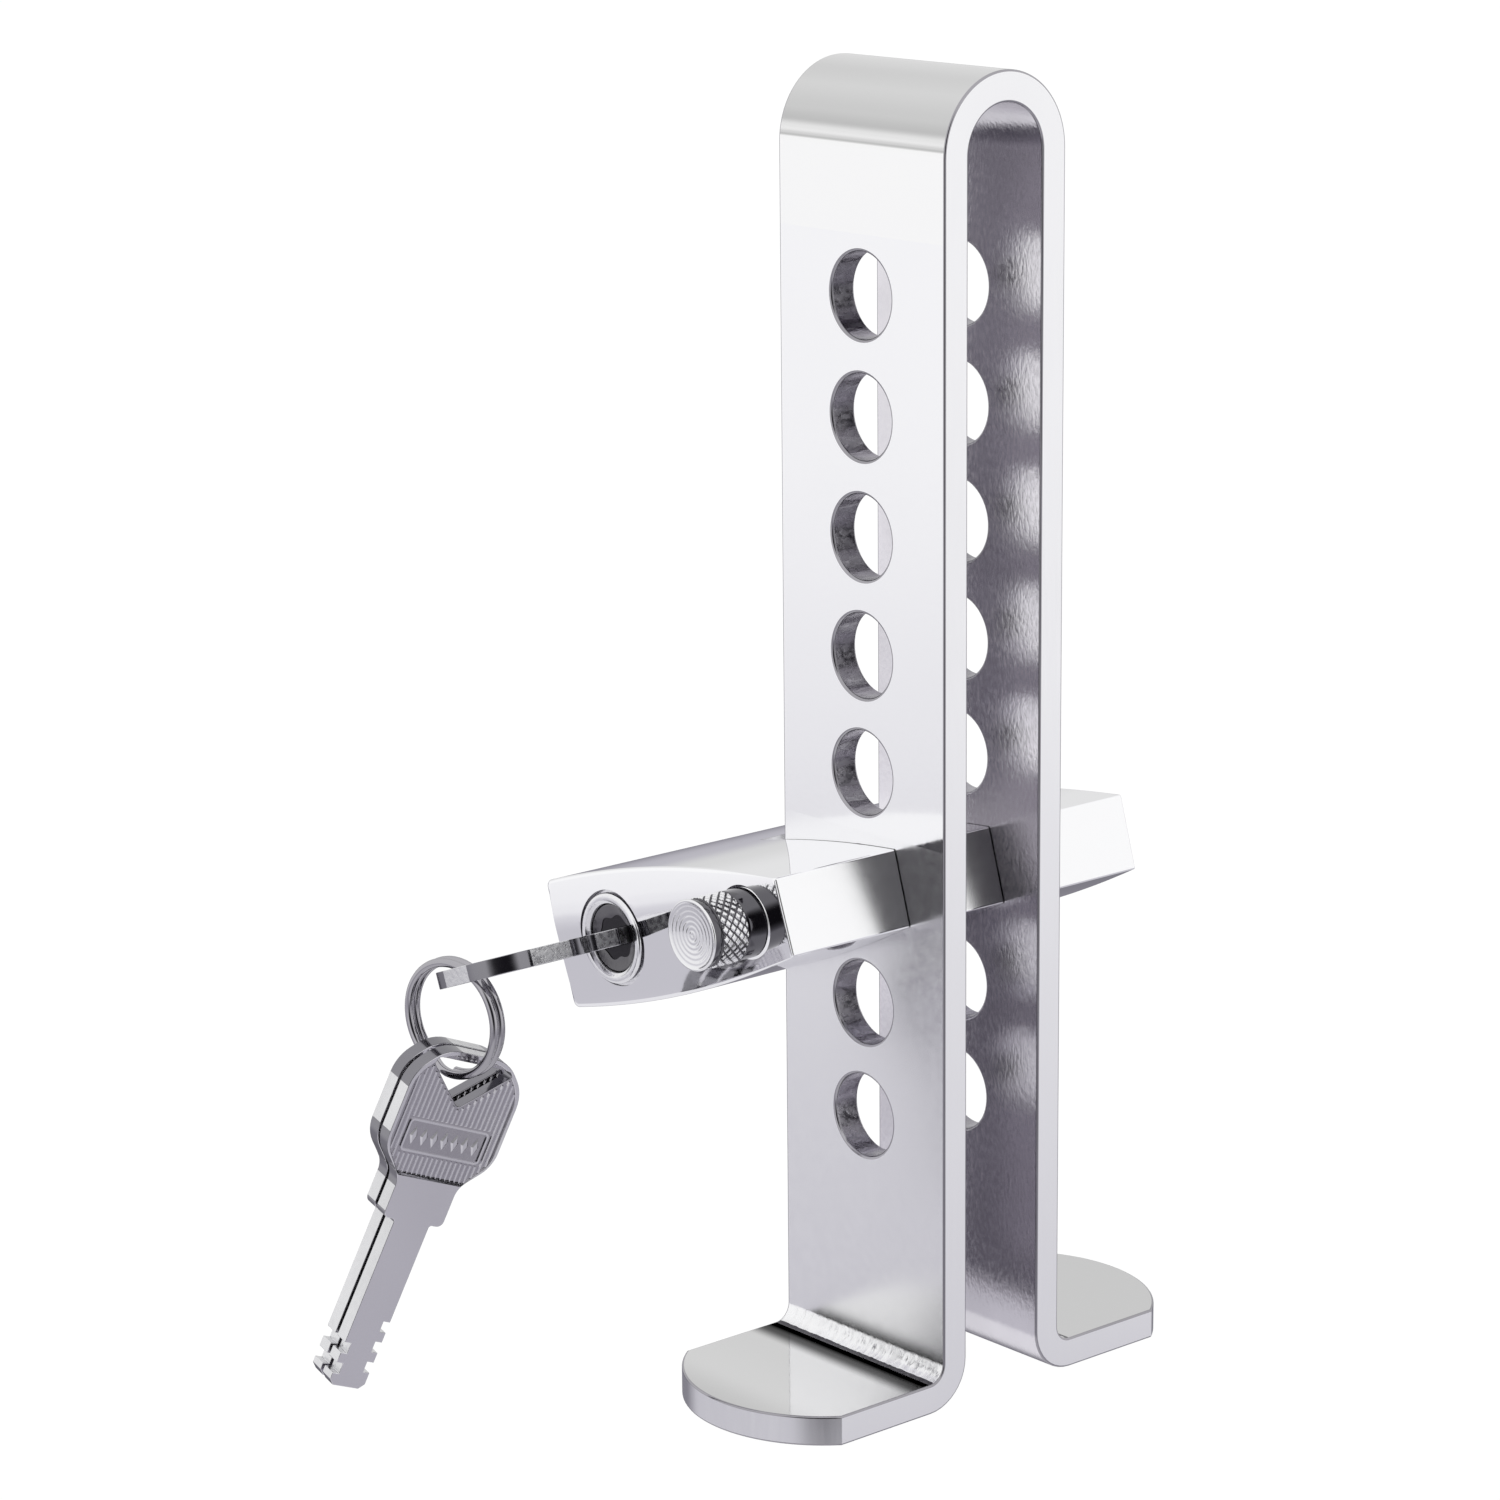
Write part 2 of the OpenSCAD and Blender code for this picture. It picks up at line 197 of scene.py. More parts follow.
def spare_key_placing(offset):
    """A spare key hangs from the foot of the ring, with its eye over the joint's pivot."""
    turn = SPARE_TURN.to_matrix()
    pivot = JOINTS["key_2_swing"]["pos_m"]
    hang = Matrix.Translation(Vector((0, 0, offset)) - EYE_HANG)
    return placing_of(pivot, turn.col[0], turn.col[1]) @ hang


def ring_placing():
    """The ring stands upright: x along its hinge, y up, z along its own axis."""
    low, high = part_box("split_ring")
    return placing_of((low + high) / 2, JOINTS["ring_swing"]["axis"], (0.0, 0.0, 1.0))


# ---- mesh tools

SMOOTH_BELOW = radians(30)
ROUNDING_STEPS = 6


class Shape:
    """Points and faces gathered before they become a mesh. Each face has the number of its finish."""

    def __init__(self):
        self.points = []
        self.faces = []
        self.finishes = []

    def add(self, points):
        """Adds points and returns their numbers."""
        first = len(self.points)
        self.points.extend(Vector(p) for p in points)
        return list(range(first, len(self.points)))

    def face(self, corners, finish=0):
        """Adds one face through numbered points."""
        self.faces.append(list(corners))
        self.finishes.append(finish)

    def bridge(self, row_a, row_b, closed=False, finish=0):
        """Quads between two rows of equal length, or one face round two unequal rows."""
        if len(row_a) != len(row_b):
            self.face(row_a + row_b[::-1], finish)
            return
        count = len(row_a)
        for i in range(count if closed else count - 1):
            j = (i + 1) % count
            self.face((row_a[i], row_a[j], row_b[j], row_b[i]), finish)

    def tube(self, rows, looped=False):
        """Quads round a run of rings. The last ring of a looped tube meets its first."""
        for row_a, row_b in zip(rows, rows[1:] + rows[:1] if looped else rows[1:]):
            self.bridge(row_a, row_b, closed=True)


def add_object(name, data):
    """A new object in the scene."""
    obj = bpy.data.objects.new(name, data)
    bpy.context.scene.collection.objects.link(obj)
    return obj


def raw_object(name, shape, placing, finishes=()):
    """A mesh object in the frame, with its normals turned outward and no loose points."""
    mesh = bpy.data.meshes.new(name)
    mesh.from_pydata([placing @ p for p in shape.points], [], shape.faces)
    for finish in finishes:
        mesh.materials.append(finish)
    mesh.polygons.foreach_set("material_index", shape.finishes)
    work = bmesh.new()
    work.from_mesh(mesh)
    bmesh.ops.recalc_face_normals(work, faces=work.faces)
    bmesh.ops.delete(work, geom=[v for v in work.verts if not v.link_faces], context="VERTS")
    work.to_mesh(mesh)
    work.free()
    return add_object(name, mesh)


def cut_out(obj, shape, placing, finish=0):
    """Cuts a shape out of an object, exactly. The new walls take one of the object's finishes."""
    shape.finishes = [finish] * len(shape.faces)
    cutter = raw_object("cutter", shape, placing, list(obj.data.materials))
    step = obj.modifiers.new("cut", "BOOLEAN")
    step.operation = "DIFFERENCE"
    step.solver = "EXACT"
    step.object = cutter
    graph = bpy.context.evaluated_depsgraph_get()
    result = bpy.data.meshes.new_from_object(obj.evaluated_get(graph))
    obj.modifiers.remove(step)
    obj.data = result
    bpy.data.objects.remove(cutter)


def finish_piece(obj, body, replaced=(), bevel=0.0):
    """Shading, an optional small bevel, and the piece's attachment to its body, with the CAD nodes it
    replaces hidden.
    """
    obj.data.shade_smooth()
    obj.data.set_sharp_from_angle(angle=SMOOTH_BELOW)
    if bevel:
        rounding = obj.modifiers.new("edge rounding", "BEVEL")
        rounding.width = bevel * MM
        rounding.segments = 2
        rounding.limit_method = "ANGLE"
        rounding.angle_limit = SMOOTH_BELOW
        rounding.harden_normals = False
    evened = obj.modifiers.new("even normals", "WEIGHTED_NORMAL")
    evened.keep_sharp = True
    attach(obj, body)
    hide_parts(*replaced)


def steps(start, end, count):
    """count + 1 evenly spaced values from start to end."""
    return [start + (end - start) * i / count for i in range(count + 1)]


def angles_round(count):
    """Evenly spaced angles round one full turn."""
    return steps(0, 2 * pi, count)[:-1]


def quarter_round(radius, count):
    """[inset from the side, depth from the face] round an edge, from the face to the side."""
    return [(radius * (1 - sin(a)), radius * (1 - cos(a))) for a in steps(0, pi / 2, count)]


TURNED_AROUND = 96
BORE_AROUND = 64


def circle(radius_at, y, count):
    """Points round the Y axis. The radius may change with the angle."""
    return [(radius_at(a) * cos(a), y, radius_at(a) * sin(a)) for a in angles_round(count)]


def turned(profile, around=TURNED_AROUND, ring=False):
    """A shape turned about Y from [radius, y] points. A ring's profile closes on itself."""
    shape = Shape()
    rows = []
    for radius, y in profile:
        if radius == 0:
            rows.append(shape.add([(0, y, 0)]))
            continue
        rows.append(shape.add(circle(lambda _: radius, y, around)))
    pairs = list(zip(rows, rows[1:]))
    if ring:
        pairs.append((rows[-1], rows[0]))
    for row_a, row_b in pairs:
        if len(row_a) == 1 or len(row_b) == 1:
            pole, rim = (row_a[0], row_b) if len(row_a) == 1 else (row_b[0], row_a)
            for i in range(around):
                shape.face((pole, rim[i], rim[(i + 1) % around]))
        else:
            shape.bridge(row_a, row_b, closed=True)
    return shape


def rod(start, end, radius, axis="y"):
    """A plain round bar along one axis, used to cut bores."""
    bar = turned([(0, start), (radius, start), (radius, end), (0, end)], BORE_AROUND)
    if axis == "x":
        bar.points = [Vector((p.y, p.x, p.z)) for p in bar.points]
    if axis == "z":
        bar.points = [Vector((p.x, p.z, p.y)) for p in bar.points]
    return bar


def moved(shape, x, y=0.0):
    """The same shape, shifted."""
    shape.points = [p + Vector((x, y, 0)) for p in shape.points]
    return shape


def round_corner(before, corner, after, radius):
    """Points on the arc that rounds one corner of an outline."""
    corner = Vector(corner)
    towards_a = (Vector(before) - corner).normalized()
    towards_b = (Vector(after) - corner).normalized()
    half = towards_a.angle(towards_b) / 2
    centre = corner + (towards_a + towards_b).normalized() * (radius / sin(half))
    start = corner + towards_a * (radius / tan(half)) - centre
    end = corner + towards_b * (radius / tan(half)) - centre
    turn = start.angle_signed(end)
    first = atan2(start.y, start.x)
    return [centre + radius * Vector((cos(first - turn * t), sin(first - turn * t)))
            for t in steps(0, 1, ROUNDING_STEPS)]


def rounded_outline(corners):
    """An outline of [x, y, radius] corners, each rounded by its radius."""
    points = []
    count = len(corners)
    for i, (x, y, radius) in enumerate(corners):
        before = corners[i - 1][:2]
        after = corners[(i + 1) % count][:2]
        if radius:
            points.extend(round_corner(before, (x, y), after, radius))
        else:
            points.append(Vector((x, y)))
    return points


def slab(outline, z_low, z_high, finish=0):
    """A flat plate with the given outline."""
    shape = Shape()
    low = shape.add([(p[0], p[1], z_low) for p in outline])
    high = shape.add([(p[0], p[1], z_high) for p in outline])
    shape.face(low, finish)
    shape.face(high, finish)
    shape.bridge(low, high, closed=True, finish=finish)
    return shape


# ---- finishes

def add_node(tree, kind, inputs=None, **settings):
    """A shader node with its settings, and its inputs set to values or joined to sockets."""
    made = tree.nodes.new(kind)
    for name, value in settings.items():
        setattr(made, name, value)
    set_inputs(tree, made, inputs or {})
    return made


def set_inputs(tree, node, inputs):
    """Sets a node's inputs to values, or joins them to sockets."""
    for name, value in inputs.items():
        if isinstance(value, bpy.types.NodeSocket):
            tree.links.new(value, node.inputs[name])
        else:
            node.inputs[name].default_value = value


EVEN_GRAIN = (1.0, 1.0, 1.0)


def noise_of(tree, scale, stretch=EVEN_GRAIN, detail=3.0):
    """Noise over the piece. A large stretch makes the pattern short along that axis."""
    place = add_node(tree, "ShaderNodeTexCoord")
    mapping = add_node(tree, "ShaderNodeMapping", {"Vector": place.outputs["Object"], "Scale": stretch})
    inputs = {"Vector": mapping.outputs["Vector"], "Scale": scale, "Detail": detail}
    return add_node(tree, "ShaderNodeTexNoise", inputs).outputs["Fac"]


def ranged(tree, value, low, high, from_low=0.3, from_high=0.7):
    """A value carried from one range to another, and held at its ends. The first range suits noise."""
    inputs = {"Value": value, "From Min": from_low, "From Max": from_high, "To Min": low, "To Max": high}
    return add_node(tree, "ShaderNodeMapRange", inputs).outputs["Result"]


def mixed(tree, share, colour_a, colour_b):
    """A mix of two colours: the first where the share is 0, the second where it is 1."""
    inputs = {"Factor": share, "A": colour_a, "B": colour_b}
    return add_node(tree, "ShaderNodeMix", inputs, data_type="RGBA").outputs["Result"]


def colour_ramp(tree, value, stops):
    """A smooth run of colours. Each stop is a position from 0 to 1 and its colour."""
    ramp = add_node(tree, "ShaderNodeValToRGB", {"Fac": value})
    band = ramp.color_ramp
    band.interpolation = "EASE"
    while len(band.elements) < len(stops):
        band.elements.new(0.5)
    for element, (position, colour) in zip(band.elements, stops):
        element.position = position
        element.color = (*colour, 1.0)
    return ramp.outputs["Color"]


GRAINS_PER_CLOUD = 40
BUMP_HEIGHT = 0.0002


def metal(name, colour, rough, grain, stretch=EVEN_GRAIN, bump=0.02, worn=0.9, metallic=1.0):
    """A metal with fine grain in its roughness and relief, and cloudy wear in its colour."""
    material = bpy.data.materials.new(name)
    material.use_nodes = True
    tree = material.node_tree
    shader = tree.nodes["Principled BSDF"]
    fine = noise_of(tree, grain, stretch)
    cloudy = noise_of(tree, grain / GRAINS_PER_CLOUD, detail=2.0)
    shade = mixed(tree, ranged(tree, cloudy, 0.0, 1.0), (*colour, 1.0), (*[worn * c for c in colour], 1.0))
    relief = add_node(tree, "ShaderNodeBump", {"Strength": bump, "Distance": BUMP_HEIGHT, "Height": fine})
    set_inputs(tree, shader, {"Base Color": shade, "Roughness": ranged(tree, fine, *rough),
                              "Normal": relief.outputs["Normal"], "Metallic": metallic})
    return material


# painted reflection and shade over the top bend: grey levels by height as a share of the bend's radius
BEND_PAINTED_LIGHT = ((0.0, 0.97), (0.07, 0.95), (0.10, 0.53), (0.125, 0.66), (0.17, 0.84), (0.21, 0.80),
               (0.30, 0.53), (0.45, 0.60), (0.75, 0.66), (1.0, 0.82))

# painted reflection and shade over the feet's top, from the rear foot's end to the front foot's: grey levels,
# with the painted shade darkest along the front crease
FOOT_PAINTED_LIGHT = ((0.0, 0.80), (0.60, 0.80), (0.655, 0.07), (0.68, 0.06), (0.705, 0.22), (0.745, 0.84),
               (0.90, 0.86), (1.0, 0.76))


def painted_light_bands(material, levels, axis, start, end, edge_on=False):
    """Paints light and shade into a metal's base colour, as grey levels that run along one axis of the frame.
    With edge_on, the painted shade is as dark at a low angle as it is face on."""
    tree = material.node_tree
    place = add_node(tree, "ShaderNodeTexCoord")
    parts = add_node(tree, "ShaderNodeSeparateXYZ", {"Vector": place.outputs["Object"]})
    share = ranged(tree, parts.outputs[axis], 0.0, 1.0, start * MM, end * MM)
    greys = colour_ramp(tree, share, [(position, (level, level, level)) for position, level in levels])
    names = ("Base Color", "Specular Tint") if edge_on else ("Base Color",)
    set_inputs(tree, tree.nodes["Principled BSDF"], dict.fromkeys(names, greys))
    return material


ALONG_Z_GRAIN = (1.0, 1.0, 0.06)
BRUSH_GRAIN = (1.0, 1.0, 0.5)

POLISHED = metal("polished strip", (0.96, 0.96, 0.975), (0.07, 0.12), 900, worn=0.985)
BRUSHED = metal("brushed strip", (0.90, 0.88, 0.92), (0.13, 0.24), 1600, BRUSH_GRAIN, bump=0.17, worn=0.8)
# painted shade: the inner face of the front leg, which faces the rear leg across the gap
SHADED = metal("brushed strip painted shade", (0.44, 0.42, 0.46), (0.16, 0.28), 1600, BRUSH_GRAIN, bump=0.17, worn=0.8)
RUBBED = metal("rubbed lower leg", (0.96, 0.96, 0.975), (0.19, 0.24), 700, bump=0.01, worn=0.985)
CUT_EDGE = metal("cut edge", (0.96, 0.96, 0.97), (0.12, 0.20), 1500, ALONG_Z_GRAIN, worn=0.98)
# painted reflection: the edge roundings of the strip and the holes' mouths are darkened in colour to draw a
# dark reflected line
ROUNDING_PAINTED_REFLECTION = metal("edge rounding", (0.42, 0.41, 0.44), (0.08, 0.16), 1200, worn=0.8)
# the polished top bend takes painted reflection and shade as its base colour, in bands by height
PAINTED_BEND = painted_light_bands(metal("polished bend painted light", (0.96, 0.96, 0.975), (0.07, 0.12), 900), BEND_PAINTED_LIGHT,
              "Z", TOP_BEND_Z, BRACKET_H)
# painted shade: the outer face at the crease where the bend meets the foot is near black in its colour
CREASE_PAINTED_SHADE = metal("crease painted shade", (0.10, 0.095, 0.11), (0.15, 0.35), 900, bump=0.3, worn=0.6)
# the feet's top takes painted reflection and shade as its base colour and tint, in bands along Y
PAINTED_FOOT_TOP = painted_light_bands(metal("foot top painted light", (0.74, 0.73, 0.76), (0.05, 0.10), 500), FOOT_PAINTED_LIGHT,
                  "Y", FOOT_REACH, -FOOT_REACH, edge_on=True)
PUNCHED = metal("punched wall", (0.46, 0.445, 0.49), (0.14, 0.38), 1000, (1.0, 0.5, 1.0), bump=0.5, worn=0.55)
GROUND = metal("ground bend", (0.98, 0.98, 0.99), (0.10, 0.35), 1100, (1.0, 0.25, 0.25), bump=0.5, worn=0.9)
CHROME = metal("chrome", (0.965, 0.965, 0.98), (0.03, 0.06), 500, bump=0.01, worn=0.98)
SATIN = metal("satin chrome", (0.97, 0.97, 0.98), (0.24, 0.26), 600, bump=0.0, worn=0.99)
BORED = metal("bored wall", (0.30, 0.29, 0.32), (0.25, 0.45), 1200, bump=0.3, worn=0.7)
TURNED_BRIGHT = metal("turned bright", (0.90, 0.90, 0.92), (0.10, 0.22), 1600, bump=0.1, worn=0.92)
PLUG_DARK = metal("dark plug", (0.20, 0.195, 0.21), (0.10, 0.24), 1000, bump=0.1, worn=0.6)
PLUG_BLACK = metal("black plug", (0.05, 0.048, 0.055), (0.12, 0.30), 1000, bump=0.1, worn=0.6)
HARD_STEEL = metal("hard steel", (0.80, 0.79, 0.82), (0.08, 0.18), 1200, bump=0.1, worn=0.88)
# dark on the pin's collar and spigot; painted reflection in the knob's groove and painted shade in its
# knurl's valleys
DARK_STEEL_AND_SHADE = metal("dark steel and painted shade", (0.14, 0.137, 0.15), (0.05, 0.12), 900, bump=0.03, worn=0.8)
KNOB_STEEL = metal("knob steel", (0.90, 0.90, 0.915), (0.05, 0.12), 1400, bump=0.04, worn=0.92)
KEY_FACE = metal("key face", (0.77, 0.76, 0.795), (0.13, 0.22), 900, bump=0.05, worn=0.9)
# painted shade: the sunk field of the bow is darker than the face, as shade between the ribs
KEY_FIELD_PAINTED_SHADE = metal("key sunk field painted shade", (0.50, 0.485, 0.525), (0.18, 0.30), 900, bump=0.08, worn=0.85)
KEY_EDGE = metal("sandy key edge", (0.84, 0.84, 0.855), (0.20, 0.38), 1100, bump=0.35, worn=0.75)
KEY_SIDE = metal("smooth key side", (0.27, 0.265, 0.29), (0.08, 0.16), 900, bump=0.03, worn=0.85)
RING_STEEL = metal("ring wire", (0.46, 0.45, 0.48), (0.05, 0.12), 1500, bump=0.03, worn=0.85)
BRASS = metal("wafer brass", (0.78, 0.58, 0.28), (0.22, 0.38), 1500, bump=0.2, worn=0.8)
RUBBER = metal("seal rubber", (0.02, 0.02, 0.02), (0.5, 0.7), 1200, bump=0.3, worn=0.7, metallic=0.0)

CAD_FINISHES = (
    (HARD_STEEL, ("cylinder_pin", "plug_clip", "drive_crank", "crank_screw", "wafer_springs", "latch_bolt")),
    (BRASS, ("left_wafers", "right_wafers")),
    (PLUG_BLACK, ("cylinder_plug",)),
    (CHROME, ("latch_bore_plug",)),
    (RUBBER, ("pin_seal",)),
)


def finish_cad_nodes():
    """The inner pieces keep their CAD meshes and take a procedural finish."""
    for material, names in CAD_FINISHES:
        for name in names:
            mesh = frame["nodes"][name].data
            mesh.materials.clear()
            mesh.materials.append(material)


# ---- bracket

FLAT, INNER, EDGE, WALL, ROUGH, DARK_REFLECTION_ROUNDING, SHADED_CREASE, FOOT, TOP, LOW, INNER_SHADE = range(11)
GRIND_COLUMNS = 90
RUBBED_HOLES = 3
GRIND_DEPTH = 0.16
GRIND_SEED = 7
BEND_STEPS = 10
CREASE_STEPS = 2
TOP_STEPS = 48
EDGE_STEPS = 4
HOLE_POINTS = 64
ARC_EDGE_STEPS = 40


def through_strip(at_outer_face):
    """A profile at the strip's outer face, followed by the same profile at its inner face."""
    return at_outer_face + [(place, STRIP_T - depth) for place, depth in reversed(at_outer_face)]


def edge_profile():
    """[inset from the strip's side, depth from its outer face] round one long edge."""
    return through_strip(quarter_round(STRIP_EDGE_R, EDGE_STEPS))


def strip_sections(side):
    """Sections of one half of the strip, from its foot to its top: outer and inner [y, z] points,
    the number of columns the outer face is split into there, and the height of a hole that follows."""
    sections = []
    for angle in steps(-pi / 2, 0, BEND_STEPS):
        c, s = cos(angle), sin(angle)
        outer = (side * (FOOT_BEND_Y - FOOT_BEND_R * c), FOOT_BEND_Z + FOOT_BEND_R * s)
        inner = (side * (FOOT_BEND_Y - FOOT_BEND_Z * c), FOOT_BEND_Z + FOOT_BEND_Z * s)
        sections.append((outer, inner, GRIND_COLUMNS, None))
    for i in range(HOLE_COUNT):
        hole_z = HOLE_FIRST_Z + i * HOLE_PITCH
        low = hole_z - HOLE_PITCH / 2
        sections.append(((side * LEG_OUT, low), (side * LEG_IN, low), 1, hole_z))
    leg_top = HOLE_FIRST_Z + (HOLE_COUNT - 0.5) * HOLE_PITCH
    sections.append(((side * LEG_OUT, leg_top), (side * LEG_IN, leg_top), 1, None))
    for angle in steps(0, pi / 2, TOP_STEPS // 2):
        c, s = cos(angle), sin(angle)
        sections.append(((side * LEG_OUT * c, TOP_BEND_Z + LEG_OUT * s),
                         (side * LEG_IN * c, TOP_BEND_Z + LEG_IN * s), 1, None))
    return sections


def bridge_edge(shape, column_a, column_b):
    """One stretch of a long edge: its flat middle, and its two roundings, darkened with a painted dark
    reflection.
    """
    for i in range(len(column_a) - 1):
        finish = EDGE if i == EDGE_STEPS else DARK_REFLECTION_ROUNDING
        shape.face((column_a[i], column_b[i], column_b[i + 1], column_a[i + 1]), finish)


def add_section(shape, outer, inner, columns, jitter):
    """Adds one section of the strip. Returns its left and right edges and its outer row."""
    outer, inner = Vector((0, *outer)), Vector((0, *inner))
    through = (inner - outer) / STRIP_T
    edges = []
    for side in (-1, 1):
        edges.append(shape.add([outer + through * depth + Vector((side * (STRIP_W / 2 - inset), 0, 0))
                                for inset, depth in edge_profile()]))
    left, right = edges
    half = STRIP_W / 2 - STRIP_EDGE_R
    between = shape.add([outer + through * jitter() + Vector((x, 0, 0))
                         for x in steps(-half, half, columns)[1:-1]])
    return left, right, [left[0]] + between + [right[0]]


def add_hole(shape, side, hole_z, row_low, row_high, edges_low, edges_high):
    """Fills the leg between two sections round one hole, with the hole's rounded mouths and wall."""
    angles = angles_round(HOLE_POINTS)
    mouth = [(HOLE_R + inset, depth) for inset, depth in quarter_round(HOLE_FLARE, EDGE_STEPS)]
    rings = [shape.add([(radius * cos(a), side * (LEG_OUT - depth), hole_z + radius * sin(a))
                        for a in angles]) for radius, depth in through_strip(mouth)]
    for i, (ring_a, ring_b) in enumerate(zip(rings, rings[1:])):
        # the holes' rounded mouths take the painted dark reflection of the edge roundings
        shape.bridge(ring_a, ring_b, closed=True, finish=WALL if i >= EDGE_STEPS else DARK_REFLECTION_ROUNDING)
    eighth = HOLE_POINTS // 8
    inner_low = [edges_low[0][-1], edges_low[1][-1]]
    inner_high = [edges_high[0][-1], edges_high[1][-1]]
    around_hole = LOW if hole_z < HOLE_FIRST_Z + RUBBED_HOLES * HOLE_PITCH else FLAT
    for ring, low, high, finish in ((rings[0], row_low, row_high, around_hole),
                                    (rings[-1], inner_low, inner_high, inner_finish(side))):
        corners = [low[-1], high[-1], high[0], low[0]]
        for quarter in range(4):
            arc = [ring[(eighth * (2 * quarter - 1) + k) % HOLE_POINTS] for k in range(2 * eighth + 1)]
            shape.face([corners[quarter], corners[(quarter + 1) % 4]] + arc[::-1], finish)


def add_foot(shape, side, left, right, outer_row):
    """A flat foot beyond its bend, with an arc end and the same rounded edges as the strip."""
    arc_y = FOOT_REACH - FOOT_ARC_R
    open_angle = asin(STRIP_W / 2 / FOOT_ARC_R)
    outline = []
    for angle in steps(-open_angle, open_angle, ARC_EDGE_STEPS):
        normal = Vector((sin(angle), side * cos(angle)))
        outline.append((Vector((0, side * arc_y)) + normal * FOOT_ARC_R, normal))
    edge_columns = [left]
    for i, (place, normal) in enumerate(outline):
        mitre = normal
        if i in (0, len(outline) - 1):
            straight = Vector((copysign(1, place.x), 0))
            mitre = (normal + straight) / (1 + normal.dot(straight))
        edge_columns.append(shape.add([(*(place - mitre * inset), STRIP_T - depth)
                                       for inset, depth in edge_profile()]))
    edge_columns.append(right)
    for column_a, column_b in zip(edge_columns, edge_columns[1:]):
        bridge_edge(shape, column_a, column_b)
    # the foot's top face, in its painted reflection and shade
    shape.face([column[0] for column in edge_columns] + outer_row[-2:0:-1], FOOT)
    shape.face([column[-1] for column in edge_columns], INNER)


def inner_finish(side):
    """The inner face of the front leg takes painted shade and is a little rougher than that of the rear leg,
    which it is mirrored in.
    """
    return INNER_SHADE if side < 0 else INNER


def outer_finish(section):
    """Finish of the strip's outer face after a section that has no hole, counted from the foot."""
    if section < CREASE_STEPS:
        # painted shade along the crease next to the foot
        return SHADED_CREASE
    if section < BEND_STEPS:
        return ROUGH
    return LOW if section == BEND_STEPS else TOP


def add_half(shape, side, chance):
    """One foot and its leg, up to the middle of the top. Returns the two edges of the strip there."""
    made = []
    for i, (outer, inner, columns, hole_z) in enumerate(strip_sections(side)):
        ground = 0 < i < BEND_STEPS
        jitter = (lambda: -chance.uniform(0, GRIND_DEPTH)) if ground else (lambda: 0.0)
        made.append((*add_section(shape, outer, inner, columns, jitter), hole_z))
    for i, (low, high) in enumerate(zip(made, made[1:])):
        left_low, right_low, row_low, hole_z = low
        left_high, right_high, row_high, _ = high
        bridge_edge(shape, left_low, left_high)
        bridge_edge(shape, right_low, right_high)
        if hole_z is not None:
            add_hole(shape, side, hole_z, row_low, row_high, low[:2], high[:2])
            continue
        shape.bridge(row_low, row_high, finish=outer_finish(i))
        shape.face((left_low[-1], right_low[-1], right_high[-1], left_high[-1]), inner_finish(side))
    add_foot(shape, side, *made[0][:3])
    return made[-1][:2]


def bracket_strip():
    """One strip, folded over at the top, with eight holes through both legs and two feet."""
    chance = random.Random(GRIND_SEED)
    shape = Shape()
    front_top, rear_top = [add_half(shape, side, chance) for side in (-1, 1)]
    weld = {}
    for front_edge, rear_edge in zip(front_top, rear_top):
        weld.update(zip(rear_edge, front_edge))
    shape.faces = [[weld.get(c, c) for c in corners] for corners in shape.faces]
    finishes = (POLISHED, BRUSHED, CUT_EDGE, PUNCHED, GROUND, ROUNDING_PAINTED_REFLECTION, CREASE_PAINTED_SHADE, PAINTED_FOOT_TOP, PAINTED_BEND, RUBBED, SHADED)
    strip = raw_object("bracket_strip", shape, IN_BRACKET, finishes)
    finish_piece(strip, "bracket", ("bracket",))


# ---- lock body

# numbers of the body's finishes after the first, which is the chrome of its skin
BODY_BORE, BODY_END = 1, 2

FACE_ROWS = 12
ARC_STEPS = 14
CORNER_STEPS = 5
CRISP_STEPS = 4
ROUND_STEPS = 9

# angles by which the corner arcs stop short of upright, where they meet the sloping crown
LEFT_SLOPE = 0.06
RIGHT_SLOPE = 0.21


def crown_z(x, inset):
    """Height of the body's top above its middle plane. The rounding narrows towards the right end."""
    past_pin = min(1.0, max(0.0, (x + PIN_BORE_R) / (BODY_RIGHT + PIN_BORE_R)))
    narrowed = inset * (1 - END_NARROWING * past_pin)
    return BODY_CROWN - CROWN_R + sqrt((CROWN_R - narrowed) ** 2 - (x - CROWN_X) ** 2)


def upper_chain(inset, right_inset):
    """[x, z] points over the top of the body, from its left end to its right end."""
    left = BODY_LEFT + inset
    right = BODY_RIGHT - right_inset
    points = []
    for angle in steps(pi, pi / 2 + LEFT_SLOPE, CORNER_STEPS):
        centre_x = left + CORNER_ROUND
        centre_z = crown_z(centre_x, inset) - CORNER_ROUND
        points.append((centre_x + CORNER_ROUND * cos(angle), centre_z + CORNER_ROUND * sin(angle)))
    points.extend((x, crown_z(x, inset)) for x in steps(points[-1][0], WEB_X, ARC_STEPS)[1:])
    end_x = right - CRISP_ROUND
    points.extend((x, crown_z(x, inset)) for x in steps(WEB_X, end_x, ARC_STEPS)[1:])
    for angle in steps(pi / 2 - RIGHT_SLOPE, 0, CRISP_STEPS):
        centre_z = crown_z(end_x, inset) - CRISP_ROUND
        points.append((end_x + CRISP_ROUND * cos(angle), centre_z + CRISP_ROUND * sin(angle)))
    return points


def rounding_inset(depth, radius):
    """How far a rounded edge stands in at a given depth behind the face."""
    if depth >= radius:
        return 0.0
    return radius - sqrt(radius ** 2 - (radius - depth) ** 2)


